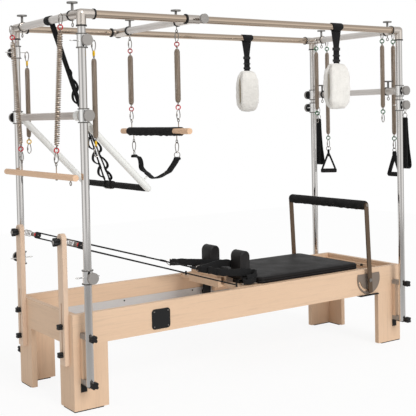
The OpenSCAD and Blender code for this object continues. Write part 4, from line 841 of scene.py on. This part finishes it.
def cushion(p, cx, z0, l, w, corner, levels, crown=0.0):
    """Stacked outlines, each level drawn in by its first number, then a crown of eight rings."""
    outline = lambda i, z: [V((cx + x, y, z0 + z))
                            for x, y in rounded(l - 2 * i, w - 2 * i, max(corner - i, 0.004))]
    rings = [outline(i, z) for i, z in levels]
    inner = min(l, w) / 2 - levels[-1][0]
    base_i, base_z = levels[-1]
    for k in range(1, 9):
        u = k / 8
        rings.append(outline(base_i + inner * 0.96 * u, base_z + crown * (1 - (1 - u) ** 2)))
    p.add(stack(rings), leather)


def welt(p, cx, z, l, w, corner, r=0.0022):
    pts = [V((cx + x, y, z)) for x, y in rounded(l, w, corner)]
    p.add(sweep(pts, circle(r, 8), closed=True, up=Z), piping)


p = Piece("carriage_cushion")
L, W = 0.837, 0.610
PAD_X, PAD_Z, PAD_R, WELT_R = 0.060 + L / 2, 0.514, 0.045, 0.042
cushion(p, PAD_X, PAD_Z, L, W, PAD_R, [(0.006, 0.0), (0.002, 0.002), (0.0006, 0.008), (0.0016, 0.0125),
                                       (0.005, 0.0145), (0.0055, 0.0150)])
cushion(p, PAD_X, PAD_Z, L, W, PAD_R,
        [(0.0062, 0.0145), (0.0024, 0.0185), (0.0008, 0.0245), (0.0026, 0.0305), (0.0072, 0.0352),
         (0.0140, 0.0378), (0.0205, 0.0384), (0.024, 0.0378), (0.030, 0.0392)], crown=0.0026)
welt(p, PAD_X, PAD_Z + 0.015, L - 0.0075, W - 0.0075, WELT_R, 0.0018)
welt(p, PAD_X, PAD_Z + 0.0382, L - 0.0455, W - 0.0455, 0.024, 0.0011)
p.make("carriage", "black_vinyl", ["carriage_pad"], fill=0.9)

HEAD_Z = 0.5563
BACK_X, FRONT_X = -0.098, -0.022      # the wide rear part and the narrow front part of the head rest
p = Piece("head_rest_board")
for bx, l, w, r in ((BACK_X, 0.094, 0.292, 0.010), (FRONT_X, 0.140, 0.200, 0.008)):
    p.add(stack([[V((bx + x, y, HEAD_Z + z)) for x, y in rounded(l - 2 * i, w - 2 * i, r)]
                 for i, z in ((0.0016, 0.0), (0.0002, 0.0018), (0.0002, 0.0182), (0.0018, 0.020))]), wood_y)
p.make("head_rest", "birch_board")
p = Piece("head_rest_cushion")
h = 0.0347
cushion(p, BACK_X, HEAD_Z + 0.0203, 0.094, 0.292, 0.020,
        [(0.004, 0.0), (0.0008, 0.003), (0.0003, h * 0.35), (0.0012, h * 0.6), (0.004, h - 0.009),
         (0.009, h - 0.0048), (0.015, h - 0.003)], crown=0.003)
cushion(p, FRONT_X, HEAD_Z + 0.0201, 0.140, 0.200, 0.014,
        [(0.003, 0.0), (0.0006, 0.003), (0.0008, 0.006), (0.004, 0.0095), (0.009, 0.0115)], crown=0.0016)
welt(p, BACK_X, HEAD_Z + 0.047, 0.086, 0.284, 0.018)
welt(p, BACK_X, HEAD_Z + 0.0225, 0.093, 0.291, 0.020)
p.make("head_rest", "black_vinyl", ["headrest"], fill=0.85)


def shoulder(n, y):
    p = Piece("shoulder_rest_" + n + "_cushion")
    x, r, top, z0 = 0.022, 0.036, 0.711, 0.536
    arch = []
    m_ = 24
    for i in range(m_ + 1):
        a = pi * i / m_
        arch.append((r * cos(a), top - r + r * sin(a)))
    prof = [(r, z0 + (top - r - z0) * k / 10) for k in range(10)] + arch
    prof += [(-r, z0 + (top - r - z0) * (1 - k / 10)) for k in range(1, 11)]
    prof[0] = (r - 0.004, z0)
    prof[-1] = (-r + 0.004, z0)
    slices = [(-0.0515, 0.74), (-0.0525, 0.80), (-0.0515, 0.865), (-0.0490, 0.925), (-0.046, 0.965), (-0.040, 0.992),
              (-0.02, 1.0), (0.0, 1.003), (0.02, 1.0), (0.040, 0.992), (0.046, 0.965), (0.0490, 0.925),
              (0.0515, 0.865), (0.0525, 0.80), (0.0515, 0.74)]
    rows = []
    for dy, k in slices:
        rows.append([])
        for px, pz in prof:
            above = max(0, pz - (top - r))
            drop = (1 - k) * r * above / max(1e-6, hypot(px, above))
            rows[-1].append(V((x + px * k, y + dy, max(pz - drop, z0))))
    p.add(stack(rows, flip=True), rest_leather)
    for dy in (-0.0478, 0.0478):
        line = [V((x + px * 0.955, y + dy, pz - 0.0014 * (pz > top - r))) for px, pz in prof]
        p.add(sweep(line, circle(0.0019, 8), up=Y), piping)
    p.add(sweep([(x, y, 0.5145), (x, y, 0.519), (x, y, 0.532), (x, y, 0.537)], rounded(0.066, 0.085, 0.01),
                scales=[0.97, 1, 1, 0.97], up=X), black)
    p.add(lathe([(0.0078, -0.028), (0.008, -0.026), (0.008, 0.002)], 24), bright, Matrix.Translation((x, y, 0.5145)))
    p.make("shoulder_" + n, "black_vinyl", ["shoulder_rest_" + n], fill=0.9)


shoulder("near", -0.160)
shoulder("far", 0.160)


# ---- carriage springs
p = Piece("carriage_spring_coils")
for i in range(5):
    y = (i - 2) * 0.08
    p.add(ring((1.04, y, 0.4), (0, 1, 0), 0.0138, 0.0022), coil)
    p.add(ring((0.64, y, 0.4), (0, 1, 0), 0.0108, 0.0022), coil)
    pts = [V((0.6525, y, 0.4))]
    turns, steps = 118, 10
    for k in range(turns * steps + 1):
        u = k / (turns * steps)
        xx = 0.662 + 0.356 * u
        e = min(1, min(u, 1 - u) * 18)
        r = 0.003 + 0.0075 * sqrt(e)
        a = 2 * pi * k / steps
        pts.append(V((xx, y + r * cos(a), 0.4 + r * sin(a))))
    pts.append(V((1.0245, y, 0.4)))
    p.add(sweep(pts, circle(0.0013, 5)), coil)
p.make("carriage", "spring_steel", ["carriage_springs"], across=("table", (0.655, 0, 0), (1.020, 0, 0)))


# ---- finishes of the CAD nodes
def finish(part, *mats, pick=lambda c: 0, bevel=0.0):
    """Dresses a CAD node: pick gives the material's number from a face's centre."""
    ob = CAD[part]
    me = ob.data
    me.materials.clear()
    for mt in mats:
        me.materials.append(mt)
    me.polygons.foreach_set("use_smooth", [True] * len(me.polygons))
    me.polygons.foreach_set("material_index", [pick(f.center) for f in me.polygons])
    me.set_sharp_from_angle(angle=radians(30))
    me.update()
    if bevel:
        md = ob.modifiers.new("edge", "BEVEL")
        md.width = bevel
        md.segments = 2
        md.limit_method = "ANGLE"
        md.angle_limit = radians(50)


for part, mat, edge in (("side_rails", wood_x, 0.0018), ("end_boards", wood_y, 0.0018),
                        ("leg_boards", wood_z, 0.0018),
                        ("pole_battens", wood_z, 0.0015), ("riser_posts", post_wood, 0.002),
                        ("rubber_pads", rubber, 0), ("clamp_knobs", black, 0.002),
                        ("uprights", silver, 0), ("top_tubes", champagne, 0),
                        ("top_cross_tubes", silver_y, 0), ("corner_fittings", fitting, 0),
                        ("socket_rings", black, 0.001), ("spring_bar", bright, 0), ("wheels_front", rubber, 0.001),
                        ("wheels_rear", rubber, 0.001), ("push_bar", offwhite, 0.001), ("pulley_sheaves", black, 0)):
    finish(part, mat, bevel=edge)
finish("carriage_tracks", alu, black, pick=lambda c: 1 if abs(c.y) < 0.3169 and c.z > 0.36 else 0)
finish("side_plate", black, bright, pick=lambda c: 1 if c.y < -0.3562 else 0, bevel=0.001)
finish("pole_brackets", hammered, black, bright, pick=lambda c:
       (2 if abs(c.x - copysign(POLE_X, c.x)) > 0.0176 and c.z < 0.15 else 1) if c.z < 0.1501 else 0)
finish("tee_screws", bright, screw_grey, pick=lambda c: 1 if c.z > TOP_Z + 0.026 else 0, bevel=0.0012)
finish("footbar_plates", taupe, black, bright, bevel=0.0008,
       pick=lambda c: 1 if c.z < 0.3481 else (2 if abs(c.y) > 0.3585 else 0))
finish("carriage_frame", wood_x, bright, black, bevel=0.0015,
       pick=lambda c: 1 if (0.63 < c.x < 0.65 and c.z < 0.42) else (2 if c.z > 0.515 and abs(c.y) > 0.26 else 0))
finish("wheel_brackets", black, bright, pick=lambda c: 1 if abs(c.y) > 0.2915 else 0)
finish("footbar_frame", bronze, bright, pick=lambda c: 1 if abs(c.y) > 0.3843 else 0, bevel=0.0012)
FLANGES = {"sliders_top_left": 1.943, "sliders_low_left": 0.722, "sliders_right": 1.590, "left_crossbar": 1.558,
           "right_crossbar": 1.685}


def collar_part(part, rim, c):
    """0 the sleeve, 1 the knob's core, 2 its disc, rim the dark edge of a flange."""
    if abs(c.y) >= 0.4765:
        return 1 if abs(c.y) < 0.4835 else 2
    out = hypot(abs(c.x) - POLE_X, abs(c.y) - TUBE_Y)
    return rim if abs(c.z - FLANGES[part]) > 0.0315 and 0.0262 < out < 0.04 else 0


def right_cross_part(c):
    part = collar_part("right_crossbar", 6, c)
    if part or abs(c.y) > 0.396:
        return part or 3
    if 0.3095 < abs(c.y) < 0.3185 and abs(c.z - 1.685) < 0.03:
        return 1
    return 4 if c.z > 1.711 else (5 if c.z < 1.660 else 0)


def carrier_part(c):
    side = abs(c.y)
    if (0.2758 < side < 0.2845 and abs(c.z - TOP_Z) < 0.03) or (c.x < -0.5178 and side > 0.39):
        return 1
    if c.z > 2.1105 and side < 0.31:
        return 4
    if c.z < 2.055 and side < 0.29:
        return 5
    return 2 if side > 0.479 else (3 if side > 0.2845 else 0)


finish("left_crossbar", grey_y, black, hammered, sleeve, edge_grey, bevel=0.001,
       pick=lambda c: collar_part("left_crossbar", 4, c) or (3 if abs(c.y) > 0.396 else 0))
finish("right_crossbar", silver_y, black, hammered, sleeve, screw_grey, bright, edge_grey, pick=right_cross_part,
       bevel=0.001)
for part in ("sliders_top_left", "sliders_low_left", "sliders_right"):
    finish(part, sleeve, black, hammered, edge_grey, pick=lambda c: collar_part(part, 3, c), bevel=0.001)
finish("trapeze_carrier", silver_y, black, hammered, fitting, screw_grey, bright, pick=carrier_part, bevel=0.001)
finish("trapeze_bar", dowel_wood, bright, pick=lambda c: 1 if abs(c.z - 1.460) > 0.0177 else 0)
finish("rolldown_bar", dowel_wood, bright, pick=lambda c: 1 if abs(c.z - 1.240) > 0.0172 else 0)


# ---- pulley blocks and riser knobs
slope = radians(17.5)
p = Piece("pulley_block_pair")
for s in (-1, 1):
    m4 = Matrix.Translation((-1.22, s * ROPE_Y, PULLEY_Z)) @ Matrix.Rotation(slope, 4, "Y")
    along_x = lambda x, y=0.0, z=0.0: m4 @ turn((1, 0, 0), (x, y, z))
    p.add(lathe([(0.004, 0.0), (0.004, 0.034)], 20), bright, turn(X, (-1.2463, s * ROPE_Y, PULLEY_Z)))
    p.add(lathe([(0.0046, 0.0), (0.0052, 0.001), (0.0052, 0.009), (0.004, 0.010)], 20), bright, along_x(0.003))
    pts = []
    for i in range(6 * 16 + 1):
        u = i / 96
        r = 0.0055 + 0.0115 * min(1, 5 * min(u + 0.04, 1.04 - u))
        a = 2 * pi * i / 16
        pts.append(V((0.012 + 0.050 * u, r * cos(a), r * sin(a))))
    p.add(sweep(pts, circle(0.0014, 8)), bright, m4)
    p.add(lathe([(0.0052, 0.0), (0.006, 0.001), (0.006, 0.011), (0.0052, 0.012)], 20), bright, along_x(0.060))
    for side in (-1, 1):
        p.add(sweep([V((0.0865, side * k, 0)) for k in (0.0064, 0.0068, 0.0090, 0.0094)], rounded(0.049, 0.024, 0.010),
                    scales=[0.98, 1, 1, 0.97], up=Z), taupe, m4)
        p.add(lathe([(0.0188, 0.0), (0.0194, 0.0006), (0.0188, 0.0016), (0.0150, 0.0022)], 36), black,
              m4 @ turn((0, side, 0), (0.0975, side * 0.0088, 0)))
        p.add(lathe([(0.0040, 0.0), (0.0042, 0.0006), (0.0036, 0.0014)], 6), bright,
              m4 @ turn((0, side, 0), (0.0975, side * 0.0108, 0)))
        p.add(lathe([(0.0050, 0.0), (0.0056, 0.0003), (0.0050, 0.0007)], 24), red,
              m4 @ turn((0, side, 0), (0.078, side * 0.0092, 0.001)) @ Matrix.Diagonal((1, 1.7, 1, 1)))
    p.add(lathe([(0.003, -0.0094), (0.003, 0.0094)], 16), bright, m4 @ turn((0, 1, 0), (0.0965, 0, 0)))
    p.add(sweep([(0.0665, -0.0064, 0), (0.0665, 0.0064, 0)], rounded(0.008, 0.022, 0.002), up=Z), bright, m4)
p.make("risers", "bright_steel", ["pulley_blocks"])
p = Piece("riser_knob_pair")
for s in (-1, 1):
    for x0, d, h in ((-1.2468, 0.040, 0.010), (-1.2575, 0.048, 0.026)):
        rows = []
        for k, z in ((0.86, 0.0), (0.97, 0.0015), (1.0, 0.004), (1.0, h - 0.0035), (0.95, h - 0.001), (0.84, h)):
            rows.append([V((x0 - z, s * ROPE_Y + d / 2 * k * (0.88 + 0.12 * cos(5 * a)) * cos(a),
                            PULLEY_Z + d / 2 * k * (0.88 + 0.12 * cos(5 * a)) * sin(a)))
                         for a in [2 * pi * i / 60 for i in range(60)]])
        p.add(stack(rows, flip=True), black)
    p.add(lathe([(0.011, 0.0), (0.0105, 0.002), (0.006, 0.003)], 32), hammered,
          turn((-1, 0, 0), (-1.2835, s * ROPE_Y, PULLEY_Z)))
p.make("risers", "black_plastic", ["riser_knobs"])


# ---- floor, world and lights
STUDIO_TURN = pi - atan2(forward.y, forward.x)


def studio_axes(nt, socket):
    """Fixed coordinates of floor or sky, X along the studio's depth."""
    mp = node(nt, "Mapping")
    mp.inputs["Rotation"].default_value = (0, 0, STUDIO_TURN)
    nt.links.new(node(nt, "TexCoord").outputs[socket], mp.inputs["Vector"])
    return mp.outputs["Vector"]


def split(nt, vector):
    s = node(nt, "SeparateXYZ")
    nt.links.new(vector, s.inputs["Vector"])
    return s.outputs


def remap(nt, src, lo, hi):
    r = node(nt, "MapRange")
    r.inputs["From Min"].default_value = lo
    r.inputs["From Max"].default_value = hi
    nt.links.new(src, r.inputs["Value"])
    return r.outputs["Result"]


def mixed(nt, fac, a, b):
    mx = node(nt, "MixRGB")
    for key, v in (("Fac", fac), ("Color1", a), ("Color2", b)):
        if isinstance(v, (tuple, float)):
            mx.inputs[key].default_value = v
        else:
            nt.links.new(v, mx.inputs[key])
    return mx.outputs["Color"]


def either(nt, a, b):
    mx = node(nt, "Math")
    mx.operation = "MAXIMUM"
    nt.links.new(a, mx.inputs[0])
    nt.links.new(b, mx.inputs[1])
    return mx.outputs[0]


F = 7.0          # half the floor's side
floor_mat, nt, b = base("studio_floor", rough=0.9, Specular_IOR_Level=0.0)
n1 = pattern(nt, "Noise", 3.0, Detail=2.0)
nt.links.new(greys(nt, n1, [(0.3, 0.95), (0.7, 0.98)]), b.inputs["Base Color"])
lp = node(nt, "LightPath")
reach = split(nt, studio_axes(nt, "Object"))[0]
mirror = greys(nt, remap(nt, reach, -F, F), [(0.0, 0.92), (0.30, 0.88), (0.45, 0.65), (0.60, 0.50), (0.78, 0.36),
                                             (0.9, 0.5), (1.0, 0.7)])
shown = mixed(nt, lp.outputs["Is Glossy Ray"], (1.0, 1.0, 1.0, 1.0), mirror)
em = node(nt, "Emission")
nt.links.new(shown, em.inputs["Color"])
share = node(nt, "Math")
share.operation = "MULTIPLY_ADD"
share.inputs[1].default_value = 0.88
nt.links.new(lp.outputs["Is Camera Ray"], share.inputs[0])
nt.links.new(either(nt, lp.outputs["Is Glossy Ray"], lp.outputs["Is Transmission Ray"]), share.inputs[2])
mx = node(nt, "MixShader")
nt.links.new(share.outputs[0], mx.inputs["Fac"])
nt.links.new(b.outputs["BSDF"], mx.inputs[1])
nt.links.new(em.outputs["Emission"], mx.inputs[2])
nt.links.new(mx.outputs["Shader"], nt.nodes["Material Output"].inputs["Surface"])
me = bpy.data.meshes.new("floor")
me.from_pydata([(-F, -F, 0), (F, -F, 0), (F, F, 0), (-F, F, 0)], [], [(0, 1, 2, 3)])
me.materials.append(floor_mat)
place("floor", me)

world = bpy.data.worlds.new("studio")
scene.world = world
world.use_nodes = True
wn = world.node_tree
way = studio_axes(wn, "Generated")
around = node(wn, "TexGradient")
around.gradient_type = "RADIAL"
wn.links.new(way, around.inputs["Vector"])
walls = greys(wn, around.outputs["Fac"], [
    (0.0, 0.9), (0.09, 0.7), (0.16, 0.38), (0.23, 0.45), (0.31, 0.95), (0.41, 1.0), (0.46, 0.6), (0.50, 0.36),
    (0.55, 0.62), (0.62, 0.98), (0.74, 0.95), (0.80, 0.40), (0.86, 0.30), (0.93, 0.7), (1.0, 0.9)])
axes = split(wn, way)
overhead = greys(wn, remap(wn, axes[0], -1, 1), [(0.0, 0.85), (0.2, 0.55), (0.5, 0.6), (0.7, 0.85), (0.9, 1.0),
                                                 (1.0, 0.7)])
studio = mixed(wn, remap(wn, axes[2], 0.14, 0.34), walls, overhead)
lpw = node(wn, "LightPath")
seen = mixed(wn, lpw.outputs["Is Glossy Ray"], (0.66, 0.66, 0.66, 1.0), studio)
white = either(wn, lpw.outputs["Is Camera Ray"], lpw.outputs["Is Transmission Ray"])
wn.links.new(mixed(wn, white, seen, (1.0, 1.0, 1.0, 1.0)), wn.nodes["Background"].inputs["Color"])

sun = bpy.data.lights.new("key", "SUN")
sun.energy = 1.45
sun.angle = radians(22)
place("key", sun).rotation_euler = V((0.02, -0.85, 0.5)).to_track_quat("Z", "Y").to_euler()
scene.view_settings.view_transform = "Standard"
